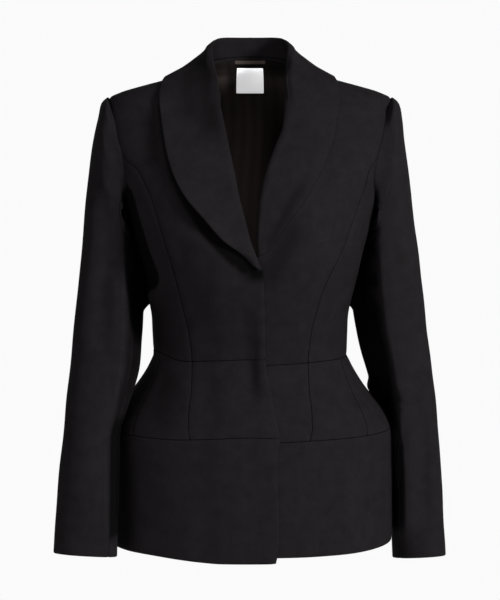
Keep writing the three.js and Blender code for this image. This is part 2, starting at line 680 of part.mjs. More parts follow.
// The sleeve as rings of points, from the armhole down
function sleeveRings(side) {
  const own = SIDES[side];
  const start = ARMHOLE_WAYS.map((way) => {
    const { x, z, face } = armhole(way);
    return [own * (x + SEAM), onFace(x, z, face), z];
  });
  const square = 2.15;
  const rings = SLEEVES[side].map(({ outer, inner, mid, depth, lean, rise }) =>
    ARMHOLE_WAYS.map((way) => {
      const across = sign(cos(way)) * abs(cos(way)) ** (2 / square);
      const front = sign(sin(way)) * abs(sin(way)) ** (2 / square);
      const x = (outer[0] + inner[0]) / 2 + ((outer[0] - inner[0]) / 2) * across;
      const z = (outer[1] + inner[1]) / 2 + ((outer[1] - inner[1]) / 2) * across;
      return [own * x, mid - depth * front + (lean * (1 - across)) / 2, z + rise * front];
    }),
  );
  return [start, ...rings];
}

// The ring positions of the two sleeve seams: one towards the front, one at the back
const SLEEVE_SEAMS = { front: CELLS.armhole + 4, back: CELLS.armhole + CELLS.underarm - 4 };

function sleevePanel(side, part) {
  const rings = sleeveRings(side);
  const around = ARMHOLE_WAYS.length;
  const [first, last] =
    part === "upper"
      ? [SLEEVE_SEAMS.back - around, SLEEVE_SEAMS.front]
      : [SLEEVE_SEAMS.front, SLEEVE_SEAMS.back];
  const pick = (ring) => {
    const row = [];
    for (let k = first; k <= last; k++) row.push(ring[(k + around) % around]);
    return row;
  };
  const hub = (_, r) => mixPoint(rings[r][0], rings[r][around / 2], 0.5);
  const normals = normalsOf(rings, hub, true).map(pick);
  return wall(trim(rings.map(pick), "blr"), 0, -CLOTH, normals);
}

// The lining shows inside the back of the neck
function backLining() {
  const inset = CLOTH + LINING_CLEAR;
  const top = steps(14).map((t) => mix(-58, 58, t));
  const grid = steps(12).map((t) =>
    top.map((x) => {
      const r = 1 - (1 - t) ** 2; // rows crowd towards the neck
      const reach = mix(2.05, 1, r ** 1.5);
      const ceiling = NAPE - 3 - 13 * (x / 58) ** 2;
      const z = mix(WAIST + 6, ceiling, r);
      const limit = bodiceAt(z).half * 0.93;
      const wide = max(-limit, min(limit, x * reach));
      return [wide, onFace(wide, z, 1), z];
    }),
  );
  return torsoWall(grid, -inset, -inset - LINING);
}

// A flat piece on the inner face of the back of the neck
function insidePatch({ x, top, bottom, thick }, clear) {
  const inset = CLOTH + LINING_CLEAR + clear;
  const grid = steps(3).map((r) =>
    steps(4).map((t) => {
      const at = mix(-x, x, t);
      const z = mix(bottom, top, r);
      return [at, onFace(at, z, 1), z];
    }),
  );
  return torsoWall(grid, -inset, -inset - thick);
}

const wool = new THREE.MeshStandardMaterial({ color: 0x1e1c1e, roughness: 0.9, metalness: 0 });
const satin = new THREE.MeshStandardMaterial({ color: 0x1c1614, roughness: 0.45, metalness: 0 });
const white = new THREE.MeshStandardMaterial({ color: 0xd8d8d8, roughness: 0.5, metalness: 0 });

const jacket = new THREE.Group();
function add(name, geometry, material = wool) {
  const mesh = new THREE.Mesh(geometry, material);
  mesh.name = name;
  jacket.add(mesh);
}

for (const side of Object.keys(SIDES)) {
  add(`front_${side}`, frontBodice(side));
  add(`side_${side}`, sideBodice(side));
  add(`back_${side}`, backBodice(side));
  const { princess, sideFront, backPrincess, back, front } = COLUMN;
  const yoke = (first, last) => torsoWall(belt(side, "waist", "hip", first, last, CELLS.yoke, "btlr"));
  add(`yoke_front_${side}`, yoke(front, princess));
  add(`yoke_side_front_${side}`, yoke(princess, sideFront));
  add(`yoke_side_${side}`, yoke(sideFront, backPrincess));
  add(`yoke_back_${side}`, yoke(backPrincess, back));
  add(`band_front_${side}`, torsoWall(belt(side, "hip", "hem", front, COLUMN.side, CELLS.band, "tr")));
  add(`collar_${side}`, collar(side));
  add(`sleeve_upper_${side}`, sleevePanel(side, "upper"));
  add(`sleeve_under_${side}`, sleevePanel(side, "under"));
}
add("band_back", bandBack());
add("back_lining", backLining(), satin);
add("label", insidePatch(LABEL, LINING + SEAM), white);
add("hanger_loop", insidePatch(LOOP, LINING + SEAM), satin);

export default jacket;
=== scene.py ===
"""Dresses the tailored jacket: crepe panels, shawl collar, sleeves, satin lining and studio."""

import logging
import math
from dataclasses import dataclass, field
from enum import Enum
from typing import Any, Optional, Sequence, Union

import bpy
import numpy as np
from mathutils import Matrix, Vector


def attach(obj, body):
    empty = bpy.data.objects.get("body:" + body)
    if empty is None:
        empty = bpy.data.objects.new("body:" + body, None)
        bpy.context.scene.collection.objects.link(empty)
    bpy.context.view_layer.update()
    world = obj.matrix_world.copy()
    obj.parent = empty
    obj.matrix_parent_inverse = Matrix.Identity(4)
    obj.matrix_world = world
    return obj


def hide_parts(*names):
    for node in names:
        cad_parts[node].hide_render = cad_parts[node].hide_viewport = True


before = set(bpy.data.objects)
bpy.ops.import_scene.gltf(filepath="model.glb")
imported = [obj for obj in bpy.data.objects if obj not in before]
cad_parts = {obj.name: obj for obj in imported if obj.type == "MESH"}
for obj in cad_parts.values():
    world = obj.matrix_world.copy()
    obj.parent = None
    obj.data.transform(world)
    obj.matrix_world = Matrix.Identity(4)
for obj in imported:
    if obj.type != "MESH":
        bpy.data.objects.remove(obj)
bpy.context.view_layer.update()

logging.basicConfig(level=logging.INFO, format="%(name)s: %(message)s")
LOG = logging.getLogger("jacket")

MM = 0.001
Grid = np.ndarray


class Side(Enum):
    """The wearer's side that a piece belongs to, with the sign of its X."""

    RIGHT = -1
    LEFT = 1

    @property
    def label(self) -> str:
        """The side's word in the names of pieces."""
        return self.name.lower()


class Face(Enum):
    """The front or the back of the body, with the sign of its Y."""

    FRONT = -1
    BACK = 1


class Seam(Enum):
    """The level seams round the jacket."""

    WAIST = "waist"
    HIP = "hip"
    HEM = "hem"


# Curves through tables


class Track:
    """A smooth curve through the rows of a table, by level, that never overshoots them."""

    def __init__(self, rows: Sequence[tuple[float, ...]]) -> None:
        """Sorts the rows and works out their slopes.

        Args:
            rows: level first, then the values at that level.
        """
        table = np.array(sorted(rows), dtype=float)
        self.levels = table[:, 0]
        self.values = table[:, 1:]
        rise = np.diff(self.values, axis=0) / np.diff(self.levels)[:, None]
        slopes = np.zeros_like(self.values)
        slopes[0], slopes[-1] = rise[0], rise[-1]
        product = rise[:-1] * rise[1:]
        total = np.where(np.abs(rise[:-1] + rise[1:]) < 1e-12, 1.0, rise[:-1] + rise[1:])
        slopes[1:-1] = np.where(product > 0, 2 * product / total, 0.0)
        self.slopes = slopes

    def __call__(self, level: Any) -> Grid:
        """The values at a level.

        Args:
            level: one level or an array of them, in millimetres.

        Returns:
            An array with the values along its last axis.
        """
        at = np.clip(np.asarray(level, dtype=float), self.levels[0], self.levels[-1])
        i = np.clip(np.searchsorted(self.levels, at, side="right") - 1, 0, len(self.levels) - 2)
        span = self.levels[i + 1] - self.levels[i]
        t = ((at - self.levels[i]) / span)[..., None]
        span = span[..., None]
        return (
            self.values[i] * (1 + 2 * t) * (1 - t) ** 2
            + self.slopes[i] * span * t * (1 - t) ** 2
            + self.values[i + 1] * t * t * (3 - 2 * t)
            - self.slopes[i + 1] * span * t * t * (1 - t)
        )


def smooth(t: Any) -> Any:
    """An eased step from 0 to 1."""
    c = np.clip(t, 0.0, 1.0)
    return c * c * (3 - 2 * c)


def mix(a: Any, b: Any, t: Any) -> Any:
    """A value between a and b."""
    return a + (b - a) * t


def bell(distance: Any, width: Any) -> Any:
    """A soft bump of height 1 whose sides fall away within about twice its width."""
    return np.exp(-((distance / width) ** 2))


@dataclass(frozen=True)
class Reach:
    """A stretch of levels, and how softly it begins at its low end and ends at its high one."""

    low: float
    high: float
    soft_low: float
    soft_high: float

    def share(self, z: Any) -> Any:
        """How far inside the stretch a level lies, from 0 to 1."""
        return smooth((z - self.low) / self.soft_low) * smooth((self.high - z) / self.soft_high)


def spline(points: Grid, count: int, at: Optional[Grid] = None) -> Grid:
    """Draws a smooth curve through points, at even steps of its length.

    Args:
        points: rows of points, along the first axis.
        count: how many points to give back.
        at: where along the length to take them, from 0 to 1, in place of even steps.

    Returns:
        The points of the curve, along the first axis.
    """
    points = np.asarray(points, dtype=float)
    flat = points.reshape(len(points), -1)
    step = np.linalg.norm(np.diff(flat, axis=0), axis=1) ** 0.75
    knots = np.concatenate([[0], np.cumsum(np.maximum(step, 1e-6))])
    slopes = np.zeros_like(flat)
    rise = np.diff(flat, axis=0) / np.diff(knots)[:, None]
    before, after = np.diff(knots)[:-1, None], np.diff(knots)[1:, None]
    slopes[1:-1] = (rise[:-1] * after + rise[1:] * before) / (before + after)
    slopes[0], slopes[-1] = rise[0], rise[-1]

    def curve(u: Grid) -> Grid:
        """The curve's points at places along its knots."""
        i = np.clip(np.searchsorted(knots, u, side="right") - 1, 0, len(knots) - 2)
        span = (knots[i + 1] - knots[i])[:, None]
        t = (u - knots[i])[:, None] / span
        return (
            flat[i] * (1 + 2 * t) * (1 - t) ** 2
            + slopes[i] * span * t * (1 - t) ** 2
            + flat[i + 1] * t * t * (3 - 2 * t)
            - slopes[i + 1] * span * t * t * (1 - t)
        )

    fine = np.linspace(0, knots[-1], 40 * len(points))
    run = np.concatenate([[0], np.cumsum(np.linalg.norm(np.diff(curve(fine), axis=0), axis=1))])
    wanted = np.linspace(0, 1, count) if at is None else at
    return curve(np.interp(wanted * run[-1], run, fine)).reshape((len(wanted),) + points.shape[1:])


# The body of the jacket


@dataclass
class Torso:
    """The outer cloth surface round the body: its sections, in millimetres."""

    waist: float = -390.0
    hip: float = -486.0
    hem: float = -640.0
    neck_point: tuple[float, float] = (66.0, -6.0)
    nape: float = 10.0
    bust: tuple[float, float, float, float, float] = (85.0, -243.0, 8.0, 38.0, 42.0)
    overlap: float = 3.0
    overlap_side: tuple[float, float] = (-64.0, 30.0)  # where the overlap begins, and over what run
    overlap_top: tuple[float, float] = (-222.0, 24.0)
    bodice: tuple[tuple[float, ...], ...] = (  # level, half width, back, squareness
        (36, 47, 57.5, 2.2),
        (12, 57, 60, 2.2),
        (-6, 66, 63, 2.2),
        (-14, 91, 68, 2.25),
        (-22, 118, 72, 2.3),
        (-29.5, 146, 76, 2.35),
        (-38, 174, 80, 2.4),
        (-45, 187, 83, 2.45),
        (-70, 196, 93, 2.6),
        (-92, 197, 99, 2.7),
        (-116, 191, 104, 2.75),
        (-160, 176, 108, 2.6),
        (-187, 170, 107, 2.45),
        (-215, 162.5, 104, 2.35),
        (-245, 153.5, 100, 2.3),
        (-270, 147, 95, 2.25),
        (-302, 139.5, 88, 2.2),
        (-343, 132, 80, 2.2),
        (-390, 130.7, 75, 2.2),
    )
    yoke: tuple[tuple[float, ...], ...] = (
        (-390, 130.7, 75, 2.2),
        (-410, 140.5, 84, 2.2),
        (-427, 151, 93, 2.2),
        (-443, 163, 103, 2.25),
        (-460, 177.5, 114, 2.25),
        (-472, 185, 120, 2.3),
        (-486, 191.5, 125, 2.3),
    )
    band: tuple[tuple[float, ...], ...] = (
        (-486, 191.5, 125, 2.3),
        (-530, 192.3, 127.5, 2.3),
        (-585, 193, 128, 2.3),
        (-650, 193.3, 128, 2.3),
    )
    front_depth: tuple[tuple[float, ...], ...] = (
        (36, 12),
        (12, 24),
        (-6, 31),
        (-22, 45),
        (-45, 59),
        (-92, 85),
        (-140, 104),
        (-187, 117),
        (-245, 125),
        (-302, 113),
        (-343, 99),
        (-388, 90),
        (-427, 105),
        (-460, 121),
        (-490, 128),
        (-560, 129),
        (-650, 127),
    )
    princess: tuple[tuple[float, ...], ...] = (  # level, front and back distance of the seams
        (-130, 159, 168),
        (-150, 147.5, 157),
        (-175, 136, 142),
        (-200, 126.5, 128),
        (-230, 116, 112),
        (-260, 105.5, 98),
        (-290, 96, 86),
        (-320, 87.5, 76),
        (-350, 80.5, 69),
        (-390, 76.5, 65),
        (-440, 76, 68),
        (-486, 78, 72),
    )
    side_front: tuple[float, float] = (121.5, 155.0)
    front_edge: tuple[tuple[float, ...], ...] = (  # level, how far the upper front passes the middle
        (-262, 13.5),
        (-295, 15.5),
        (-340, 17),
        (-384, 18),
        (-408, 21.5),
        (-424, 25.3),
        (-451, 30.5),
        (-482, 36.5),
        (-509, 33.5),
        (-562, 34.5),
        (-615, 35.5),
        (-646, 32),
    )
    underlap: float = 22.0
    askew: float = 8.5  # how far the front princess seams lie towards the left sleeve
    waist_rise: tuple[float, float, float] = (9.0, 88.0, 38.0)  # height, start and run, at the right side
    front_levels: dict[tuple[Side, Seam], float] = field(
        default_factory=lambda: {
            (Side.RIGHT, Seam.WAIST): -384.0,
            (Side.RIGHT, Seam.HIP): -480.5,
            (Side.RIGHT, Seam.HEM): -645.5,
            (Side.LEFT, Seam.WAIST): -392.0,
            (Side.LEFT, Seam.HIP): -488.0,
            (Side.LEFT, Seam.HEM): -639.5,
        }
    )
    armhole: tuple[float, float, float, float] = (-45.0, -187.0, 64.0, 58.0)
    armhole_lean: float = 0.255

    def __post_init__(self) -> None:
        """Fits the smooth curves through the tables."""
        self.bodice_at = Track(self.bodice)
        self.yoke_at = Track(self.yoke)
        self.band_at = Track(self.band)
        self.front_at = Track(self.front_depth)
        self.princess_at = Track(self.princess)
        self.edge_at = Track(self.front_edge)

    def level(self, seam: Seam) -> float:
        """The level of a seam at the side."""
        return {Seam.WAIST: self.waist, Seam.HIP: self.hip, Seam.HEM: self.hem}[seam]

    def section(self, z: Any) -> tuple[Grid, Grid, Grid, Grid]:
        """Half width, front depth, back depth and squareness at a level.

        Args:
            z: levels, in millimetres.

        Returns:
            The four values, each an array like the levels.
        """
        z = np.asarray(z, dtype=float)
        above, middle, below = self.bodice_at(z), self.yoke_at(z), self.band_at(z)
        lower = np.where((z > self.hip)[..., None], middle, below)
        rows = np.where((z > self.waist)[..., None], above, lower)
        return rows[..., 0], self.front_at(z)[..., 0], rows[..., 1], rows[..., 2]

    def fullness(self, x: Any, z: Any) -> Any:
        """How far the bust fills the front out."""
        place, level, full, wide, high = self.bust
        return full * np.exp(-((np.abs(x) - place) ** 2) / (2 * wide**2) - (z - level) ** 2 / (2 * high**2))

    def on_face(self, x: Any, z: Any, face: Face) -> Grid:
        """The cloth's Y at a distance from the centre.

        Args:
            x: distances from the centre, in millimetres.
            z: levels, in millimetres.
            face: the front or the back.

        Returns:
            The Y of the cloth there, in millimetres.
        """
        half, front, back, square = self.section(z)
        share = np.maximum(0, 1 - (np.abs(x) / half) ** square) ** (1 / square)
        return -(front + self.fullness(x, z)) * share if face is Face.FRONT else back * share

    def at_turn(self, turn: Any, z: Any) -> Grid:
        """The cloth's point at a turn from the front, towards the piece's own side.

        Args:
            turn: turns from the front, in radians.
            z: levels, in millimetres.

        Returns:
            The points, in millimetres.
        """
        half, front, back, square = self.section(z)
        across, along = np.sin(turn), np.cos(turn)
        x = half * np.sign(across) * np.abs(across) ** (2 / square)
        share = np.abs(along) ** (2 / square)
        y = np.where(along > 0, -(front + self.fullness(x, z)) * share, back * share)
        return np.stack([x, y, np.broadcast_to(z, np.shape(x))], axis=-1)

    def turn_of(self, x: Any, z: Any, face: Face) -> Any:
        """The turn of a point of the cloth from the front, by its distance from the centre.

        Args:
            x: distances from the centre, in millimetres.
            z: levels, in millimetres.
            face: the front or the back.

        Returns:
            The turns, in radians, with the sign of x.
        """
        half, _, _, square = self.section(z)
        turn = np.arcsin(np.minimum(1, (np.abs(x) / half) ** (square / 2)))
        signed = np.where(np.asarray(x) < 0, -1.0, 1.0)
        return signed * (turn if face is Face.FRONT else math.pi - turn)

    def measure(self, points: Grid) -> Grid:
        """A number that is 0 on the cloth and grows outwards.

        Args:
            points: the points, in millimetres.

        Returns:
            That number for each point.
        """
        x, y, z = points[..., 0], points[..., 1], points[..., 2]
        half, front, back, square = self.section(z)
        depth = np.where(y < 0, front + self.fullness(x, z), back)
        return (np.abs(x / half) ** square + np.abs(y / depth) ** square) ** (1 / square) - 1

    def height_above(self, points: Grid) -> tuple[Grid, Grid]:
        """Height of points over the cloth, and their direction outwards.

        Args:
            points: the points, in millimetres.

        Returns:
            The heights, in millimetres, and the unit directions.
        """
        probe = 0.5
        slope = np.stack(
            [
                (self.measure(points + probe * axis) - self.measure(points - probe * axis)) / (2 * probe)
                for axis in np.eye(3)
            ],
            axis=-1,
        )
        steep = np.linalg.norm(slope, axis=-1)
        return self.measure(points) / steep, slope / steep[..., None]

    def rest_above(self, points: Grid, height: Any, only_raise: bool) -> Grid:
        """Moves points off the cloth to a height, or only those that lie lower.

        Args:
            points: the points to move.
            height: the height wanted, in millimetres.
            only_raise: leaves points that are high enough where they are.

        Returns:
            The moved points.
        """
        moved = np.array(points, dtype=float)
        for _ in range(12):
            found, out = self.height_above(moved)
            push = np.clip(height - found, -4, 4)
            if only_raise:
                push = np.maximum(push, 0)
            moved = moved + out * push[..., None]
        return moved

    def outward(self, points: Grid) -> Grid:
        """The cloth's direction outwards, kept level at the seams that make a ridge or groove.

        Args:
            points: the points, in millimetres.

        Returns:
            A unit direction for each point.
        """
        _, out = self.height_above(points)
        z = points[..., 2]
        level = smooth(np.abs(z - self.hip) / 16) * smooth(np.abs(z - self.waist) / 10)
        lean = out * np.stack([np.ones_like(level), np.ones_like(level), level], axis=-1)
        return lean / np.linalg.norm(lean, axis=-1, keepdims=True)

    def stand_off(self, x: Any, z: Any, side: Side) -> Any:
        """How far a front stands off the torso where it laps over the other one.

        Args:
            x: X of the places, in millimetres.
            z: levels, in millimetres.
            side: the wearer's side.

        Returns:
            The distance, in millimetres.
        """
        if side is Side.LEFT:
            return 0.0 * np.asarray(x)
        (edge, across), (top, down) = self.overlap_side, self.overlap_top
        return self.overlap * smooth((x - edge) / across) * smooth((top - z) / down)

    def princess_shift(self, z: Any, face: Face, side: Side) -> Any:
        """How far a front princess seam lies askew: both lie towards the left sleeve.

        Args:
            z: levels, in millimetres.
            face: the front or the back.
            side: the wearer's side.

        Returns:
            The shift away from the centre, in millimetres.
        """
        if face is Face.BACK:
            return 0.0 * z
        if side is Side.RIGHT:
            return -self.askew * np.clip((z + 330) / 160, 0, 1)
        return self.askew * smooth((z + 300) / 70) * (1 - smooth((z + 165) / 35))

    def armhole_at(self, way: Any) -> tuple[Grid, Grid]:
        """Turn and level of the armhole seam. way 0 is its top and a quarter turn its front.

        Args:
            way: the way round the armhole, in radians.

        Returns:
            The turns, in radians, and the levels.
        """
        top, bottom, front, back = self.armhole
        way = np.asarray(way, dtype=float)
        z = (top + bottom) / 2 + (top - bottom) / 2 * np.cos(way)
        ahead = np.sin(way) >= 0
        lean = np.where(ahead, self.armhole_lean, 0.0)
        y = np.where(ahead, front, back) * np.abs(np.sin(way - lean * np.sin(way)))
        half, deep, back_depth, square = self.section(z)
        depth = np.where(ahead, deep, back_depth)
        x = half * (1 - (y / depth) ** square) ** (1 / square)
        turn = np.where(ahead, self.turn_of(x, z, Face.FRONT), self.turn_of(x, z, Face.BACK))
        return turn, z

    def seam_level(self, seam: Seam, x: Any, face: Face, side: Side) -> Any:
        """The level of a seam at a distance from the centre: the fronts hang a little askew.

        Args:
            seam: the level seam.
            x: distances from the centre, in millimetres.
            face: the front or the back.
            side: the wearer's side.

        Returns:
            The levels, in millimetres.
        """
        level = self.level(seam) + 0.0 * np.asarray(x)
        if seam is Seam.WAIST and side is Side.RIGHT:
            height, start, run = self.waist_rise
            level = level + height * smooth((np.abs(x) - start) / run)
        if face is Face.BACK:
            return level
        reach = 150 if seam is Seam.HEM else 110
        return mix(level, self.front_levels[side, seam], smooth((reach - np.abs(x)) / 110))


# Cloth as a mesh


def directions(grid: Grid, hub: Grid, closed: bool = False) -> Grid:
    """Directions across the cloth at each point of a grid, turned away from a middle.

    Args:
        grid: rows of points.
        hub: a point for each row, or one for all, that the directions turn away from.
        closed: whether the rows run all the way round.

    Returns:
        Unit directions, one for each point.
    """
    if closed:
        along_row = np.roll(grid, -1, axis=1) - np.roll(grid, 1, axis=1)
    else:
        along_row = np.gradient(grid, axis=1)
    out = np.cross(np.gradient(grid, axis=0), along_row)
    out /= np.maximum(np.linalg.norm(out, axis=-1, keepdims=True), 1e-9)
    middle = hub if hub.ndim == 1 else hub[:, None, :]
    return out if np.sum(out * (grid - middle)) >= 0 else -out


def lengths(grid: Grid, axis: int) -> Grid:
    """The run of the cloth from its first row or column to each point.

    Args:
        grid: rows of points, in millimetres.
        axis: 0 to run up the rows, 1 to run across them.

    Returns:
        The run at each point, in millimetres.
    """
    step = np.linalg.norm(np.diff(grid, axis=axis), axis=-1)
    start = np.zeros_like(np.take(step, [0], axis=axis))
    return np.cumsum(np.concatenate([start, step], axis=axis), axis=axis)


def patch(bottom: Grid, top: Grid, left: Grid, right: Grid) -> Grid:
    """Fills a four sided outline, whose bottom and top run one way, with a grid.

    Args:
        bottom: points along the bottom.
        top: as many points along the top.
        left: points up the left side.
        right: as many points up the right side.

    Returns:
        Rows of points, from the bottom up.
    """
    s = np.linspace(0, 1, len(bottom))[None, :, None]
    t = np.linspace(0, 1, len(left))[:, None, None]
    corners = mix(mix(bottom[0], bottom[-1], s), mix(top[0], top[-1], s), t)
    return mix(bottom[None], top[None], t) + mix(left[:, None], right[:, None], s) - corners


def even(points: Grid, count: int) -> Grid:
    """Points at even steps along a line with corners.

    Args:
        points: the corners of the line.
        count: how many points to give back.

    Returns:
        The points along the line.
    """
    points = np.asarray(points, dtype=float)
    run = np.concatenate([[0], np.cumsum(np.linalg.norm(np.diff(points, axis=0), axis=1))])
    at = np.linspace(0, run[-1], count)
    return np.stack([np.interp(at, run, points[:, c]) for c in range(points.shape[1])], axis=-1)


class Push:
    """Something that moves the points of a cloth outwards, and may paint shade on them."""

    def push(self, points: Grid, out: Grid) -> Grid:
        """How far each point moves outwards, in millimetres."""
        raise NotImplementedError

    def shade(self, points: Grid, out: Grid) -> Grid:
        """How much painted shade each point has, from 0 to 1."""
        return np.zeros(points.shape[:-1])


@dataclass(frozen=True)
class Crease(Push):
    """A soft ridge or trough drawn on the cloth, seen from the front or the back.

    start and end are its ends as X and level, in millimetres. It is wide at the middle and
    fades at both ends. A trough has a negative height, bow bends it sideways, and dark is how
    much painted shade it has at its middle.
    """

    start: tuple[float, float]
    end: tuple[float, float]
    width: float
    height: float
    bow: float = 0.0
    face: Face = Face.FRONT
    # painted shade at the crease's middle, from 0 to 1
    dark: float = 0.0
    ends: float = 0.3  # the share of its length over which it fades at each end

    def strength(self, points: Grid, out: Grid) -> Grid:
        """How strong the crease is at each point, from 0 to 1.

        Args:
            points: the points, in millimetres.
            out: the direction outwards at each point.

        Returns:
            The strength at each point.
        """
        start, end = np.array(self.start), np.array(self.end)
        line = end - start
        long = float(np.linalg.norm(line))
        along_way, side_way = line / long, np.array([-line[1], line[0]]) / long
        place = points[..., [0, 2]] - start
        t = place @ along_way / long
        away = place @ side_way - self.bow * 4 * t * (1 - t)
        fade = smooth(t / self.ends) * smooth((1 - t) / self.ends)
        seen = smooth(self.face.value * out[..., 1] / 0.25)
        return bell(away, self.width) * fade * seen

    def push(self, points: Grid, out: Grid) -> Grid:
        """How far the crease moves each point outwards, in millimetres."""
        return self.height * self.strength(points, out)

    def shade(self, points: Grid, out: Grid) -> Grid:
        """How much painted shade each point has."""
        return self.dark * self.strength(points, out)


@dataclass(frozen=True)
class Unevenness(Push):
    """The slight waviness that pressed wool always has."""

    amount: float = 0.32
    waves: tuple[tuple[float, float, float, float], ...] = (
        (0.061, 0.023, 0.047, 0.4),
        (-0.038, 0.052, 0.071, 1.9),
        (0.083, -0.041, 0.029, 3.1),
        (0.027, 0.066, -0.088, 5.2),
        (-0.104, 0.017, 0.055, 2.3),
    )

    def push(self, points: Grid, out: Grid) -> Grid:
        """How far the waviness moves each point outwards, in millimetres.

        Args:
            points: the points, in millimetres.
            out: not used.

        Returns:
            The distance for each point.
        """
        total = np.zeros(points.shape[:-1])
        for x, y, z, start in self.waves:
            total += np.sin(points[..., 0] * x + points[..., 1] * y + points[..., 2] * z + start)
        return self.amount * total / math.sqrt(len(self.waves))


@dataclass(frozen=True)
class Hollow(Push):
    """A hollow beside a crisp edge, under an arm or under the upper lapel, with painted shade in it.

    edge holds the place of that edge as level and distance from the centre. The hollow lies
    on the far side of it from the centre, or on the near one. Its painted shade lies between levels,
    and with no depth it is painted shadow alone.
    """

    side: Side
    edge: tuple[tuple[float, float], ...]
    levels: tuple[float, float]
    beyond: bool = True
    depth: float = 0.0
    # how dark the painted shade in the hollow is, from 0 to 1
    darkness: float = 1.0
    soft: float = 3.0

    def inside(self, points: Grid, soft: float) -> Grid:
        """How far inside the hollow each point is, from 0 to 1.

        Args:
            points: the points, in millimetres.
            soft: over how many millimetres the hollow begins.

        Returns:
            The share for each point.
        """
        edge = np.array(self.edge)
        line = np.interp(points[..., 2], edge[:, 0], edge[:, 1])
        past = self.side.value * points[..., 0] - line
        return smooth((past if self.beyond else -past) / soft) * smooth((40 - points[..., 1]) / 20)

    def push(self, points: Grid, out: Grid) -> Grid:
        """How far the hollow moves each point outwards, in millimetres."""
        level = Reach(*self.levels, 25, 20).share(points[..., 2])
        return -self.depth * self.inside(points, 9.0) * level

    def shade(self, points: Grid, out: Grid) -> Grid:
        """How much painted shade each point has."""
        level = Reach(*self.levels, 16, 16).share(points[..., 2])
        return self.darkness * self.inside(points, self.soft) * level


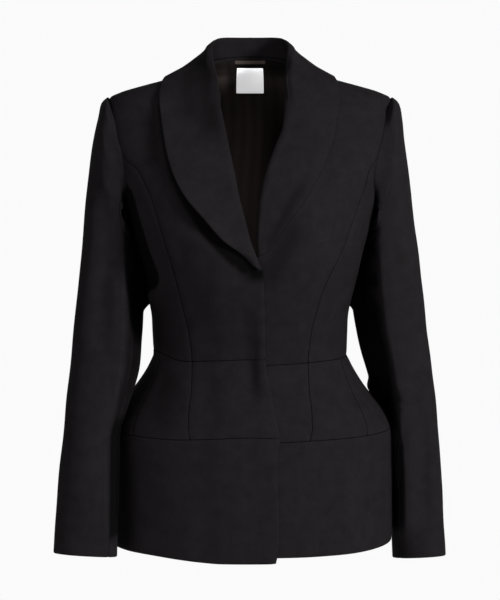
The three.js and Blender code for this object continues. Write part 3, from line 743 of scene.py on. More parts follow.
@dataclass
class Cloth:
    """One cut piece of cloth as a closed wall with rounded edges, in millimetres.

    grid holds its outer face, and out the directions away from the body. sewn and free name
    the borders that meet a seam or are turned edges: b bottom, t top, l left, r right.
    """

    name: str
    node: str
    grid: Grid
    out: Grid
    thickness: float = 1.6
    sewn: str = ""
    free: str = ""
    edge_thickness: float = 2.6
    edge_reach: float = 9.0
    seam_dip: float = 0.45
    # painted shade in the groove along a sewn border
    seam_shade: float = 0.92
    seam_width: float = 3.0
    seam_calm: float = 22.0  # how near a seam the creases die away
    edge_steps: int = 4
    pushes: Sequence[Push] = ()

    def border_runs(self) -> dict[str, Grid]:
        """The distance of each point from each border."""
        up, across = lengths(self.grid, 0), lengths(self.grid, 1)
        return {"b": up, "t": up[-1:] - up, "l": across, "r": across[:, -1:] - across}

    def size(self) -> tuple[float, float, float]:
        """Width, length and area of the cut, in metres and square metres.

        Returns:
            Width and length in metres, and area in square metres.
        """
        up, across = lengths(self.grid, 0)[-1], lengths(self.grid, 1)[:, -1]
        a = self.grid[1:, 1:] - self.grid[:-1, :-1]
        b = self.grid[1:, :-1] - self.grid[:-1, 1:]
        area = float(np.linalg.norm(np.cross(a, b), axis=-1).sum()) / 2
        return float(across.max()) * MM, float(up.max()) * MM, area * MM * MM

    def draw_back(self) -> None:
        """Draws the sewn borders back, so that the rounded edges meet at the seam line."""
        back = self.thickness / 2 - 0.05
        grid = self.grid
        for border, rim, inner in (
            ("b", np.s_[0, :], np.s_[1, :]),
            ("t", np.s_[-1, :], np.s_[-2, :]),
            ("l", np.s_[:, 0], np.s_[:, 1]),
            ("r", np.s_[:, -1], np.s_[:, -2]),
        ):
            if border in self.sewn:
                step = grid[inner] - grid[rim]
                long = np.maximum(np.linalg.norm(step, axis=-1, keepdims=True), 1e-6)
                grid[rim] = grid[rim] + step / long * np.minimum(back, 0.6 * long)

    def surface(self) -> tuple[Grid, Grid]:
        """The outer face with its creases, and the wall's thickness at each point.

        Returns:
            The points of the outer face, and the thickness at each, in millimetres.
        """
        runs = self.border_runs()
        push = sum((p.push(self.grid, self.out) for p in self.pushes), np.zeros(self.grid.shape[:-1]))
        thick = np.full(self.grid.shape[:-1], self.thickness)
        for border in self.sewn:
            calm = mix(0.25, 1.0, smooth(runs[border] / self.seam_calm))
            push = push * calm - self.seam_dip * bell(runs[border], self.seam_width)
        for border in self.free:
            near = smooth(1 - runs[border] / self.edge_reach)
            thick = np.maximum(thick, mix(self.thickness, self.edge_thickness, near))
        return self.grid + self.out * push[..., None], thick

    def build(self) -> bpy.types.Object:
        """Makes the mesh object, at the origin, in metres.

        Returns:
            The object.
        """
        self.draw_back()
        outer, thick = self.surface()
        rows, columns = outer.shape[:2]
        inner = outer - self.out * thick[..., None]
        ids = np.arange(rows * columns).reshape(rows, columns)
        loop = np.concatenate([ids[0, :-1], ids[:-1, -1], ids[-1, :0:-1], ids[:0:-1, 0]])
        flat_outer, flat_inner = outer.reshape(-1, 3), inner.reshape(-1, 3)
        lean = self.edge_ways(outer, ids, loop)
        half = (flat_outer[loop] - flat_inner[loop]) / 2
        radius = np.linalg.norm(half, axis=1, keepdims=True)
        middle = flat_inner[loop] + half
        angles = [math.pi * n / (self.edge_steps + 1) for n in range(1, self.edge_steps + 1)]
        bulges = [middle + half * math.cos(angle) + lean * radius * math.sin(angle) for angle in angles]
        points = np.concatenate([flat_outer, flat_inner] + bulges) * MM
        count = rows * columns
        a, b, c, d = ids[:-1, :-1], ids[:-1, 1:], ids[1:, 1:], ids[1:, :-1]
        face = np.stack([a, b, c, d], axis=-1).reshape(-1, 4)
        steps = [2 * count + n * len(loop) + np.arange(len(loop)) for n in range(self.edge_steps)]
        rings = [loop] + steps + [loop + count]
        strips = []
        for near, far in zip(rings[:-1], rings[1:]):
            strips.append(np.stack([np.roll(near, -1), near, far, np.roll(far, -1)], axis=-1))
        quads = np.concatenate([face, face[:, ::-1] + count] + strips)
        turned = np.cross(outer[1:, :-1] - outer[:-1, :-1], outer[:-1, 1:] - outer[:-1, :-1])
        if float(np.sum(turned * self.out[:-1, :-1])) > 0:
            quads = quads[:, ::-1]
        up, across = lengths(self.grid, 0), lengths(self.grid, 1)
        flat_run = np.stack([across.reshape(-1), up.reshape(-1)], axis=-1) * MM
        run = np.concatenate([flat_run, flat_run] + [flat_run[loop]] * self.edge_steps)
        flat_shade = self.shade().reshape(-1)
        borders = "b" * (columns - 1) + "r" * (rows - 1) + "t" * (columns - 1) + "l" * (rows - 1)
        sewn = np.array([border in self.sewn for border in borders])
        # the rounded edges of sewn borders get the seam's painted shade
        groove = np.where(sewn, self.seam_shade, flat_shade[loop])
        shade = np.concatenate([flat_shade, flat_shade] + [groove] * self.edge_steps)
        return mesh_object(self.name, points, quads, run, shade)

    def shade(self) -> Grid:
        """How much painted shade each point of the outer face has, from its hollows, creases and folds.

        Returns:
            A share from 0 to 1 for each point.
        """
        dark = np.zeros(self.grid.shape[:-1])
        for push in self.pushes:
            dark = 1 - (1 - dark) * (1 - push.shade(self.grid, self.out))
        return dark

    def edge_ways(self, outer: Grid, ids: Grid, loop: Grid) -> Grid:
        """The direction out of the piece, along the cloth, at each point of its border.

        Args:
            outer: the outer face's points.
            ids: not used.
            loop: the numbers round the border.

        Returns:
            A unit direction for each point of the border.
        """
        way = np.zeros_like(outer)
        way[0] += outer[0] - outer[1]
        way[-1] += outer[-1] - outer[-2]
        side = np.zeros_like(outer)
        side[:, 0] += outer[:, 0] - outer[:, 1]
        side[:, -1] += outer[:, -1] - outer[:, -2]
        total = np.zeros_like(outer)
        for part in (way, side):
            total += part / np.maximum(np.linalg.norm(part, axis=-1, keepdims=True), 1e-9)
        flat, out = total.reshape(-1, 3)[loop], self.out.reshape(-1, 3)[loop]
        flat = flat - out * np.sum(flat * out, axis=1, keepdims=True)
        return flat / np.maximum(np.linalg.norm(flat, axis=1, keepdims=True), 1e-9)


def mesh_object(
    name: str, points: Grid, quads: Grid, run: Grid, shade: Optional[Grid] = None
) -> bpy.types.Object:
    """Makes a smooth mesh object from points and four sided faces.

    Args:
        name: the object's name.
        points: its points, in metres.
        quads: the point numbers of each face.
        run: the place of each point along the cloth, in metres, for the map of the weave.
        shade: how much painted shade each point has, from 0 to 1.

    Returns:
        The object, linked to the scene, at the origin.
    """
    mesh = bpy.data.meshes.new(name)
    mesh.vertices.add(len(points))
    mesh.vertices.foreach_set("co", points.astype(np.float32).ravel())
    mesh.loops.add(quads.size)
    mesh.loops.foreach_set("vertex_index", quads.astype(np.int32).ravel())
    mesh.polygons.add(len(quads))
    mesh.polygons.foreach_set("loop_start", np.arange(0, quads.size, 4, dtype=np.int32))
    mesh.polygons.foreach_set("use_smooth", np.ones(len(quads), dtype=bool))
    mesh.update(calc_edges=True)
    weave = mesh.uv_layers.new(name="weave")
    weave.data.foreach_set("uv", run[quads.ravel()].astype(np.float32).ravel())
    if shade is not None:
        mesh.attributes.new("shade", "FLOAT", "POINT").data.foreach_set("value", shade.astype(np.float32))
    mesh.validate()
    piece = bpy.data.objects.new(name, mesh)
    bpy.context.collection.objects.link(piece)
    return piece


# Finishes


class Value:
    """A socket of a shader, so that its maths reads as an expression."""

    def __init__(self, finish: "Nodes", socket: Any) -> None:
        """Keeps the socket and the node tree that it belongs to."""
        self.finish = finish
        self.socket = socket

    def _math(self, operation: str, a: Any, b: Any) -> "Value":
        """Adds a Math node."""
        return self.finish.node("ShaderNodeMath", {"operation": operation}, {0: a, 1: b})

    def __add__(self, other: Any) -> "Value":
        """This value plus another."""
        return self._math("ADD", self, other)

    __radd__ = __add__

    def __sub__(self, other: Any) -> "Value":
        """This value less another."""
        return self._math("SUBTRACT", self, other)

    def __rsub__(self, other: Any) -> "Value":
        """Another value less this one."""
        return self._math("SUBTRACT", other, self)

    def __mul__(self, other: Any) -> "Value":
        """This value times another."""
        return self._math("MULTIPLY", self, other)

    __rmul__ = __mul__


class Nodes:
    """The node tree of one material."""

    def __init__(self, name: str) -> None:
        """Starts a material whose node tree holds its output alone.

        Args:
            name: the material's name.
        """
        self.material = bpy.data.materials.new(name)
        self.material.use_nodes = True
        self.tree = self.material.node_tree
        self.tree.nodes.clear()
        self.output = self.tree.nodes.new("ShaderNodeOutputMaterial")

    def node(
        self,
        kind: str,
        settings: dict[str, Any],
        inputs: dict[Union[int, str], Any],
        output: Union[int, str] = 0,
    ) -> Value:
        """Adds a node.

        Args:
            kind: the node's type.
            settings: its own settings, such as a Math node's operation.
            inputs: what its sockets hold or are linked to.
            output: the output to give back.

        Returns:
            That output.
        """
        made = self.tree.nodes.new(kind)
        for key, value in settings.items():
            setattr(made, key, value)
        for key, value in inputs.items():
            if isinstance(value, Value):
                self.tree.links.new(value.socket, made.inputs[key])
            else:
                made.inputs[key].default_value = value
        return Value(self, made.outputs[output])

    def place(self) -> Value:
        """The place on the piece, in metres."""
        return self.node("ShaderNodeTexCoord", {}, {}, "Object")

    def weave(self) -> Value:
        """The place along the cloth's own grain, in metres."""
        return self.node("ShaderNodeUVMap", {"uv_map": "weave"}, {})

    def shade(self) -> Value:
        """How much painted shade the place has, from 0 to 1, in a seam, a hollow or a crease."""
        return self.node("ShaderNodeAttribute", {"attribute_name": "shade"}, {}, "Fac")

    def noise(self, at: Value, scale: float, detail: float = 2.0, roughness: float = 0.5) -> Value:
        """Noise of a given scale, from 0 to 1."""
        sizes = {"Vector": at, "Scale": scale, "Detail": detail, "Roughness": roughness}
        return self.node("ShaderNodeTexNoise", {}, sizes)

    def blend(self, share: Any, a: Any, b: Any) -> Value:
        """A mix of two colours."""
        return self.node("ShaderNodeMix", {"data_type": "RGBA"}, {0: share, 6: a, 7: b}, 2)

    def bump(self, height: Value, strength: float, distance: float) -> Value:
        """A normal for a height."""
        return self.node("ShaderNodeBump", {}, {"Height": height, "Strength": strength, "Distance": distance})

    def finish(self, inputs: dict[str, Any]) -> bpy.types.Material:
        """Ends the material in a Principled shader.

        Args:
            inputs: what the shader's sockets hold or are linked to.

        Returns:
            The material.
        """
        shader = self.node("ShaderNodeBsdfPrincipled", {}, inputs)
        self.tree.links.new(shader.socket, self.output.inputs["Surface"])
        return self.material


def colour(red: float, green: float, blue: float) -> tuple[float, float, float, float]:
    """A colour with full cover."""
    return (red, green, blue, 1.0)


@dataclass(frozen=True)
class WoolCrepe:
    """Dull black wool with a fine grainy surface, blended towards near black by its painted shade."""

    name: str = "wool_crepe"
    dark: tuple[float, float, float, float] = colour(0.0024, 0.0020, 0.0023)
    pale: tuple[float, float, float, float] = colour(0.0042, 0.0036, 0.0041)
    # the near black that the painted shade blends the crepe towards
    hidden: tuple[float, float, float, float] = colour(0.0002, 0.00016, 0.00018)
    roughness: float = 0.88
    specular: float = 0.02
    grain: float = 0.00022

    def make(self) -> bpy.types.Material:
        """Builds the material.

        Returns:
            The material.
        """
        nodes = Nodes(self.name)
        at = nodes.place()
        cloud = nodes.noise(at, 55.0, 3.0, 0.65)
        crumb = nodes.noise(at, 420.0, 3.0, 0.7)
        fleck = nodes.noise(at, 2600.0, 1.0)
        share = cloud * 1.4 + crumb * 1.2 - 0.8
        height = crumb * 0.7 + fleck * 0.3
        crepe = nodes.blend(share, self.dark, self.pale)
        return nodes.finish(
            {
                # painted shade from the shade attribute darkens the crepe
                "Base Color": nodes.blend(nodes.shade(), crepe, self.hidden),
                "Roughness": self.roughness,
                "Specular IOR Level": self.specular,
                "Normal": nodes.bump(height, 0.55, self.grain),
            }
        )


@dataclass(frozen=True)
class Satin:
    """Smooth satin, darker in its folds by painted shade. A painted glow keeps it bright in the shade, though
    it is no lamp.
    """

    name: str
    base: tuple[float, float, float, float]
    roughness: float = 0.38
    specular: float = 0.4
    grain: float = 0.00004
    # emission that paints light on the satin
    painted_glow: float = 0.0

    def make(self) -> bpy.types.Material:
        """Builds the material.

        Returns:
            The material.
        """
        nodes = Nodes(self.name)
        thread = nodes.noise(nodes.weave(), 1600.0, 1.0)
        soft = tuple(min(1.0, 1.25 * v) for v in self.base[:3]) + (1.0,)
        satin = nodes.blend(thread, self.base, soft)
        return nodes.finish(
            {
                # painted shade from the shade attribute blends the satin towards black
                "Base Color": nodes.blend(nodes.shade(), satin, colour(0, 0, 0)),
                "Emission Color": self.base,
                "Emission Strength": self.painted_glow,
                "Roughness": self.roughness,
                "Specular IOR Level": self.specular,
                "Normal": nodes.bump(thread, 0.3, self.grain),
            }
        )


@dataclass
class Finishes:
    """The materials of the jacket."""

    wool: bpy.types.Material = field(default_factory=lambda: WoolCrepe().make())
    lining: bpy.types.Material = field(
        default_factory=lambda: Satin("lining_satin", colour(0.0225, 0.0176, 0.0158), 0.7, 0.02).make()
    )
    # the label's painted glow keeps it bright in the shade of the collar
    label: bpy.types.Material = field(
        default_factory=lambda: Satin("label_satin", colour(0.86, 0.86, 0.87), 0.42, 0.35, painted_glow=0.46).make()
    )

    def of(self, slot: str) -> bpy.types.Material:
        """The material of one of the record's slots."""
        return {"wool_crepe": self.wool, "lining_satin": self.lining, "label_satin": self.label}[slot]


# Panels of the body


@dataclass
class BodyPanels:
    """The fronts, sides, backs, yoke and band: the panels that lie on the torso."""

    torso: Torso
    front_edge_thickness: float = 6.0
    front_edge_reach: float = 7.0
    join_level: float = -138.0  # above it a princess seam bends towards the armhole's middle
    creases: dict[str, tuple[Crease, ...]] = field(default_factory=dict)
    unevenness: Unevenness = Unevenness()

    lapel_shade = (  # level and distance from the centre where the upper lapel's painted shadow on the front ends
        (-280, 4),
        (-268, 14),
        (-250, 36),
        (-225, 60),
        (-199, 79),
        (-175, 94),
        (-149, 105),
        (-120, 113),
        (-94, 118),
        (-72, 120.5),
        (-48, 121.5),
        (-21, 119),
    )
    underarm_edge = (  # level and distance from the centre of the fold under the right arm; the side panel beyond it is painted black as shade
        (-345, 142),
        (-330, 141),
        (-313, 138),
        (-300, 132),
        (-291, 121),
        (-284, 118),
        (-273, 118),
        (-240, 131),
        (-200, 143),
        (-167, 152),
        (-150, 163),
    )

    def neck_seam(self, side: Side) -> Grid:
        """The front's neck seam as X and level, from the neck point to the break point."""
        rows = [ShawlCollar.back_rows[-1]] + list(ShawlCollar.lapels[side])
        return spline(np.array([row[0] for row in rows], dtype=float), 90)

    def to_turns(self, points: Grid, face: Face) -> Grid:
        """Turns and levels of points given as X and level."""
        return np.stack([self.torso.turn_of(points[:, 0], points[:, 1], face), points[:, 1]], axis=-1)

    def seam_line(self, seam: Seam, turns: Grid, side: Side) -> Grid:
        """Turns and levels along a level seam.

        Args:
            seam: the level seam.
            turns: turns from the front, in radians.
            side: the wearer's side.

        Returns:
            A turn and a level for each.
        """
        level = self.torso.level(seam)
        x = self.torso.at_turn(turns, level)[:, 0]
        ahead = self.torso.seam_level(seam, x, Face.FRONT, side)
        behind = self.torso.seam_level(seam, x, Face.BACK, side)
        return np.stack([turns, np.where(np.cos(turns) > 0, ahead, behind)], axis=-1)

    def princess_seam(self, face: Face, side: Side) -> Grid:
        """Turns and levels up a princess seam, from the waist to the armhole.

        Args:
            face: the front or the back.
            side: the wearer's side.

        Returns:
            Turns and levels, in rows.
        """
        torso = self.torso
        key = 0 if face is Face.FRONT else 1
        way = math.pi / 2 if face is Face.FRONT else 3 * math.pi / 2
        turn, z_join = torso.armhole_at(np.array([way]))
        join = float(torso.at_turn(turn, z_join)[0, 0])
        base = float(torso.princess_at(torso.waist)[key])
        z = np.linspace(float(torso.seam_level(Seam.WAIST, base, face, side)), float(z_join[0]), 90)
        x = torso.princess_at(z)[:, key] + torso.princess_shift(z, face, side)
        x = mix(x, join, smooth((z - self.join_level) / (z_join[0] - self.join_level)))
        return self.to_turns(np.stack([x, z], axis=-1), face)

    def armhole_seam(self, start: float, end: float) -> Grid:
        """Turns and levels along a stretch of the armhole."""
        turn, z = self.torso.armhole_at(np.linspace(start, end, 60))
        return np.stack([turn, z], axis=-1)

    def shoulder_seam(self) -> Grid:
        """Turns and levels along the shoulder, from the neck to the sleeve."""
        z = np.linspace(self.torso.neck_point[1], self.torso.armhole[0], 40)
        return np.stack([np.full_like(z, math.pi / 2), z], axis=-1)

    def place(self, turns: Grid, side: Side) -> Grid:
        """Points in space for a grid of turns and levels.

        Args:
            turns: turns from the front, with their levels.
            side: the wearer's side.

        Returns:
            The points, in millimetres.
        """
        points = self.torso.at_turn(turns[..., 0], turns[..., 1])
        x, y, z = side.value * points[..., 0], points[..., 1], points[..., 2]
        lift = np.where(y < 0, self.torso.stand_off(x, z, side), 0.0)
        return np.stack([x, y - lift, z], axis=-1)

    def cut(self, name: str, side: Optional[Side], grid: Grid, sewn: str, free: str) -> Cloth:
        """Makes the cloth of a panel from its grid of points.

        Args:
            name: the panel's name without its side.
            side: the wearer's side, or None for a panel across both.
            grid: rows of points, in millimetres.
            sewn: the borders that meet a seam.
            free: the borders that are turned edges.

        Returns:
            The cloth.
        """
        node = name if side is None else f"{name}_{side.label}"
        pushes = (self.unevenness,) + self.creases.get(node, ())
        out = self.torso.outward(grid)
        cloth = Cloth(f"{node}_cloth", node, grid, out, sewn=sewn, free=free, pushes=pushes)
        if side is Side.RIGHT and "l" in free:
            cloth.edge_thickness, cloth.edge_reach = self.front_edge_thickness, self.front_edge_reach
        return cloth

    def lap(self, seam: Seam, side: Side) -> float:
        """How far a front reaches past the centre at a level seam."""
        at_edge = float(self.torso.edge_at(self.torso.front_levels[side, seam])[0])
        return self.torso.underlap if side is Side.LEFT else at_edge

    def front(self, side: Side) -> Cloth:
        """A front, from the shoulder to the waist seam.

        Args:
            side: the wearer's side.

        Returns:
            The cloth.
        """
        torso = self.torso
        neck = self.neck_seam(side)[::-1]
        edge_turn = float(torso.turn_of(-self.lap(Seam.WAIST, side), torso.waist, Face.FRONT))
        princess_turn = float(torso.turn_of(torso.princess_at(torso.waist)[0], torso.waist, Face.FRONT))
        bottom = self.seam_line(Seam.WAIST, np.linspace(edge_turn, princess_turn, 30), side)
        if side is Side.LEFT:
            low = float(neck[0, 1]) - 24
            z = np.linspace(bottom[0, 1], low, 40)
            hinge = np.stack([np.full_like(z, -torso.underlap), z], axis=-1)
        else:
            z = np.linspace(bottom[0, 1], float(neck[0, 1]), 60)[:-1]
            hinge = np.stack([-torso.edge_at(z)[:, 0], z], axis=-1)
        left = np.concatenate([hinge, neck])
        right = np.concatenate([self.princess_seam(Face.FRONT, side), self.armhole_seam(math.pi / 2, 0)[1:]])
        rows, columns = 122, 34
        left_turns = self.to_turns(even(left, rows), Face.FRONT)
        left_turns[0], left_turns[-1] = bottom[0], (math.pi / 2, torso.neck_point[1])
        right_turns = self.on_cloth(right, rows)
        top = self.shoulder_seam()
        turns = patch(even(bottom, columns), even(top, columns), left_turns, right_turns)
        grid = self.place(turns, side)
        cloth = self.cut("front", side, grid, "btr", "l")
        if side is Side.RIGHT:
            # painted shadow of the upper lapel on the front, with no hollow
            cloth.pushes += (Hollow(side, self.lapel_shade, (-285, -12), False, 0.0, 0.97, 9.0),)
        return cloth

    def on_cloth(self, turns: Grid, count: int) -> Grid:
        """Points at even steps of the cloth along a line of turns and levels.

        Args:
            turns: turns from the front, with their levels.
            count: how many points to give back.

        Returns:
            Turns and levels, in rows.
        """
        points = self.torso.at_turn(turns[:, 0], turns[:, 1])
        run = np.concatenate([[0], np.cumsum(np.linalg.norm(np.diff(points, axis=0), axis=1))])
        at = np.linspace(0, run[-1], count)
        return np.stack([np.interp(at, run, turns[:, 0]), np.interp(at, run, turns[:, 1])], axis=-1)

    def side(self, side: Side) -> Cloth:
        """A side panel, under the arm.

        Args:
            side: the wearer's side.

        Returns:
            The cloth.
        """
        torso = self.torso
        ends = [
            float(torso.turn_of(torso.princess_at(torso.waist)[0], torso.waist, Face.FRONT)),
            float(torso.turn_of(torso.princess_at(torso.waist)[1], torso.waist, Face.BACK)),
        ]
        rows, columns = 84, 60
        bottom = self.seam_line(Seam.WAIST, np.linspace(ends[0], ends[1], columns), side)
        top = self.on_cloth(self.armhole_seam(math.pi / 2, 3 * math.pi / 2), columns)
        left = self.on_cloth(self.princess_seam(Face.FRONT, side), rows)
        right = self.on_cloth(self.princess_seam(Face.BACK, side), rows)
        grid = self.place(patch(bottom, top, left, right), side)
        cloth = self.cut("side", side, grid, "btlr", "")
        if side is Side.RIGHT:
            # pushes the side panel in beyond the fold and paints it black as shade
            cloth.pushes += (Hollow(Side.RIGHT, self.underarm_edge, (-320, -140), depth=4.0),)
        return cloth

    def back(self, side: Side) -> Cloth:
        """A back, from the shoulder to the waist seam.

        Args:
            side: the wearer's side.

        Returns:
            The cloth.
        """
        torso = self.torso
        rows, columns = 122, 44
        start = float(torso.turn_of(torso.princess_at(torso.waist)[1], torso.waist, Face.BACK))
        bottom = self.seam_line(Seam.WAIST, np.linspace(math.pi, start, columns), side)
        neck = spline(np.array([(0.0, torso.nape)] + [row[0] for row in ShawlCollar.back_rows[1:]]), 60)
        neck_turns = self.to_turns(neck, Face.BACK)
        neck_turns[0, 0], neck_turns[-1] = math.pi, (math.pi / 2, torso.neck_point[1])
        top = self.on_cloth(np.concatenate([neck_turns, self.shoulder_seam()[1:]]), columns)
        armhole = self.armhole_seam(1.5 * math.pi, 2 * math.pi)[1:]
        right = self.on_cloth(np.concatenate([self.princess_seam(Face.BACK, side), armhole]), rows)
        z = np.linspace(torso.waist, torso.nape, 80)
        left = self.on_cloth(np.stack([np.full_like(z, math.pi), z], axis=-1), rows)
        grid = self.place(patch(bottom, top, left, right), side)
        return self.cut("back", side, grid, "btlr", "")

    def stops(self, seam: Seam, side: Side) -> dict[str, float]:
        """The turns at which the seams of the yoke meet a level seam.

        Args:
            seam: the level seam.
            side: the wearer's side.

        Returns:
            A turn for each of the seams, by name.
        """
        torso = self.torso
        level = torso.level(seam)
        at = max(level, torso.hip)
        slant = torso.side_front[0 if seam is Seam.WAIST else 1]
        return {
            "edge": float(torso.turn_of(-self.lap(seam, side), level, Face.FRONT)),
            "princess": float(torso.turn_of(torso.princess_at(at)[0], level, Face.FRONT)),
            "side_front": float(torso.turn_of(slant, level, Face.FRONT)),
            "side": math.pi / 2,
            "back_princess": float(torso.turn_of(torso.princess_at(at)[1], level, Face.BACK)),
            "middle": math.pi,
        }

    def belt(
        self, side: Side, above: Seam, below: Seam, first: str, last: str, rows: int, columns: int
    ) -> Grid:
        """The grid of a panel between two of the level seams.

        Args:
            side: the wearer's side.
            above: the seam at its top.
            below: the seam at its bottom.
            first: the seam at its front.
            last: the seam at its back.
            rows: how many rows of points.
            columns: how many points in a row.

        Returns:
            Rows of points, in millimetres.
        """
        up, down = self.stops(above, side), self.stops(below, side)
        top = self.seam_line(above, np.linspace(up[first], up[last], columns), side)
        bottom = self.seam_line(below, np.linspace(down[first], down[last], columns), side)
        left = mix(bottom[0], top[0], np.linspace(0, 1, rows)[:, None])
        right = mix(bottom[-1], top[-1], np.linspace(0, 1, rows)[:, None])
        if first == "edge" and side is Side.RIGHT:
            left[:, 0] = self.torso.turn_of(-self.torso.edge_at(left[:, 1])[:, 0], left[:, 1], Face.FRONT)
            bottom[0], top[0] = left[0], left[-1]
        return self.place(patch(bottom, top, left, right), side)

    def yoke(self, side: Side) -> list[Cloth]:
        """The four yoke panels of one side.

        Args:
            side: the wearer's side.

        Returns:
            The cloths, from the front to the back.
        """
        spans = (
            ("yoke_front", "edge", "princess", 30, "btr", "l"),
            ("yoke_side_front", "princess", "side_front", 22, "btlr", ""),
            ("yoke_side", "side_front", "back_princess", 62, "btlr", ""),
            ("yoke_back", "back_princess", "middle", 24, "btlr", ""),
        )
        return [
            self.cut(name, side, self.belt(side, Seam.WAIST, Seam.HIP, first, last, 32, columns), sewn, free)
            for name, first, last, columns, sewn, free in spans
        ]

    def band_front(self, side: Side) -> Cloth:
        """The band across one front, from the edge to the side."""
        grid = self.belt(side, Seam.HIP, Seam.HEM, "edge", "side", 46, 74)
        return self.cut("band_front", side, grid, "tr", "bl")

    def band_back(self) -> Cloth:
        """The band round the back.

        Returns:
            The cloth.
        """
        left = self.belt(Side.LEFT, Seam.HIP, Seam.HEM, "side", "middle", 46, 56)
        right = self.belt(Side.RIGHT, Seam.HIP, Seam.HEM, "side", "middle", 46, 56)
        return self.cut("band_back", None, np.concatenate([left, right[:, -2::-1]], axis=1), "tlr", "b")

    def pieces(self) -> list[Cloth]:
        """All the panels of the body.

        Returns:
            The cloths.
        """
        made = []
        for side in Side:
            made += [self.front(side), self.side(side), self.back(side), self.band_front(side)]
            made += self.yoke(side)
        return made + [self.band_back()]


# The collar


CollarPoint = tuple[float, Optional[float], float]
CollarRow = tuple[tuple[float, float], CollarPoint, CollarPoint, float]


@dataclass
class ShawlCollar:
    """The one-piece shawl collar: each row runs from the neck seam over the roll to the edge."""

    torso: Torso
    cloth: float = 1.8
    wall: float = 2.2
    neck_seam: float = 0.9
    clearance: float = 1.0
    rows_count: int = 190
    stand_columns: int = 12
    fall_columns: int = 34
    edge_thickness = {Side.RIGHT: 3.2, Side.LEFT: 2.4}
    sprung = Reach(-247, -20, 45, 40)  # where the upper lapel's edge springs off the front
    creases: dict[Side, tuple[Crease, ...]] = field(default_factory=dict)

    back_rows = (
        ((0.3, 10), (0.3, 57, 35), (0.3, 72, -15), 2.8),
        ((14, 9.8), (12.5, 56.5, 35), (19, 72, -15.5), 2.8),
        ((27, 9), (24, 53.5, 35), (38, 71, -17), 2.8),
        ((39, 7.2), (35, 46, 34.8), (58, 68, -19.5), 2.8),
        ((49, 5), (43.5, 36, 33.5), (78, 60, -22), 2.8),
        ((60, -0.5), (48.5, 20, 29.5), (96, 42, -22), 2.8),
        ((66, -6), (50.5, 5, 21), (107, 18, -18), 2.8),
    )
    lapels = {
        Side.RIGHT: (
            ((60, -16), (47.5, -9, 2), (112, -10, -21), 2.6),
            ((52.5, -36), (42, -30, -29), (114, -40, -48), 2.8),
            ((42, -61), (37.2, None, -60), (113, None, -72), 3),
            ((36.2, -86), (31.8, None, -85), (109.5, None, -94), 3.2),
            ((30.4, -112), (26.5, None, -111), (103.5, None, -120), 3.8),
            ((23.5, -143), (19.9, None, -142), (92.5, None, -149), 4.6),
            ((16.9, -174.5), (13.5, None, -174), (77, None, -175), 5.4),
            ((10.3, -199.5), (7, None, -199), (57, None, -199), 5.8),
            ((3.9, -224.5), (0.6, None, -224), (33, None, -225.5), 5),
            ((-3.7, -245), (-7, None, -244.5), (8, None, -243), 3.6),
            ((-10, -262), (-13.5, None, -261), (-4.5, None, -255), 2.8),
        ),
        Side.LEFT: (
            ((60, -16), (48.5, -9, 2), (111, -10, -20), 2.6),
            ((54, -37), (46.2, -30, -28), (112.5, -38, -46), 2.8),
            ((49.3, -63), (44.8, None, -62), (111, None, -70), 2.6),
            ((45.8, -87), (41.8, None, -85), (107.5, None, -92), 2.6),
            ((39, -102.5), (35, None, -101), (101.5, None, -112), 2.6),
            ((28.9, -128), (25.1, None, -127), (90, None, -137), 2.6),
            ((22.3, -148), (18.6, None, -147), (79, None, -156), 2.6),
            ((17.1, -173.5), (13.5, None, -173), (64, None, -180), 2.6),
            ((14.3, -199.5), (10.9, None, -199), (48, None, -201), 2.6),
            ((13.6, -224.5), (10.2, None, -224), (31, None, -226), 2.6),
            ((14.6, -243), (11.4, None, -242.5), (20, None, -239), 2.4),
        ),
    }

    def section(self, row: CollarRow, side: Side) -> Grid:
        """One section in space, from the neck seam over the roll line to the edge.

        Args:
            row: a row of the collar's tables.
            side: the wearer's side.

        Returns:
            Eight points, in millimetres.
        """
        torso = self.torso
        (neck_x, neck_z), (roll_x, roll_y, roll_z), (edge_x, edge_y, edge_z), lift = row

        def lifted(x: float, z: float) -> float:
            """How far the front below stands off the torso."""
            return float(torso.stand_off(side.value * x, z, side))

        in_front = roll_y is None
        face = Face.FRONT if in_front or (edge_y <= 0 and roll_z < torso.neck_point[1] + 20) else Face.BACK
        neck_y = float(torso.on_face(neck_x, neck_z, face))
        inside = 1 - self.cloth / 2 / math.hypot(neck_x, neck_y)
        if in_front:
            neck = [neck_x - self.neck_seam, neck_y + self.cloth / 2 - lifted(neck_x, neck_z), neck_z]
            roll_y = float(torso.on_face(roll_x, roll_z, Face.FRONT)) - 1.6 - lifted(roll_x, roll_z)
            edge_y = float(torso.on_face(edge_x, edge_z, Face.FRONT))
        else:
            neck = [neck_x * inside, neck_y * inside, neck_z + self.neck_seam]
        roll = np.array([roll_x, roll_y, roll_z])
        height = lift + self.extra_lift(edge_z, side) + lifted(edge_x, edge_z)
        edge = torso.rest_above(np.array([edge_x, edge_y, edge_z], dtype=float), height, False)
        fall = []
        for t in (0.045, 0.2, 0.45, 0.72):
            point = mix(roll, edge, t)
            high = mix(3.4, lift, t) + 1.6 * math.sin(math.pi * t) + lifted(float(point[0]), float(point[2]))
            fall.append(torso.rest_above(point, high, True))
        neck = np.array(neck)
        return np.array([neck, mix(neck, roll, 0.55), roll, *fall, edge])

    def extra_lift(self, z: float, side: Side) -> float:
        """How far the upper lapel's edge springs off the front, at a level.

        Args:
            z: the level, in millimetres.
            side: the wearer's side.

        Returns:
            The distance, in millimetres.
        """
        if side is Side.LEFT:
            return 0.0
        rising = mix(3.0, 9.0, float(smooth((-80 - z) / 110)))
        return rising * float(self.sprung.share(z))

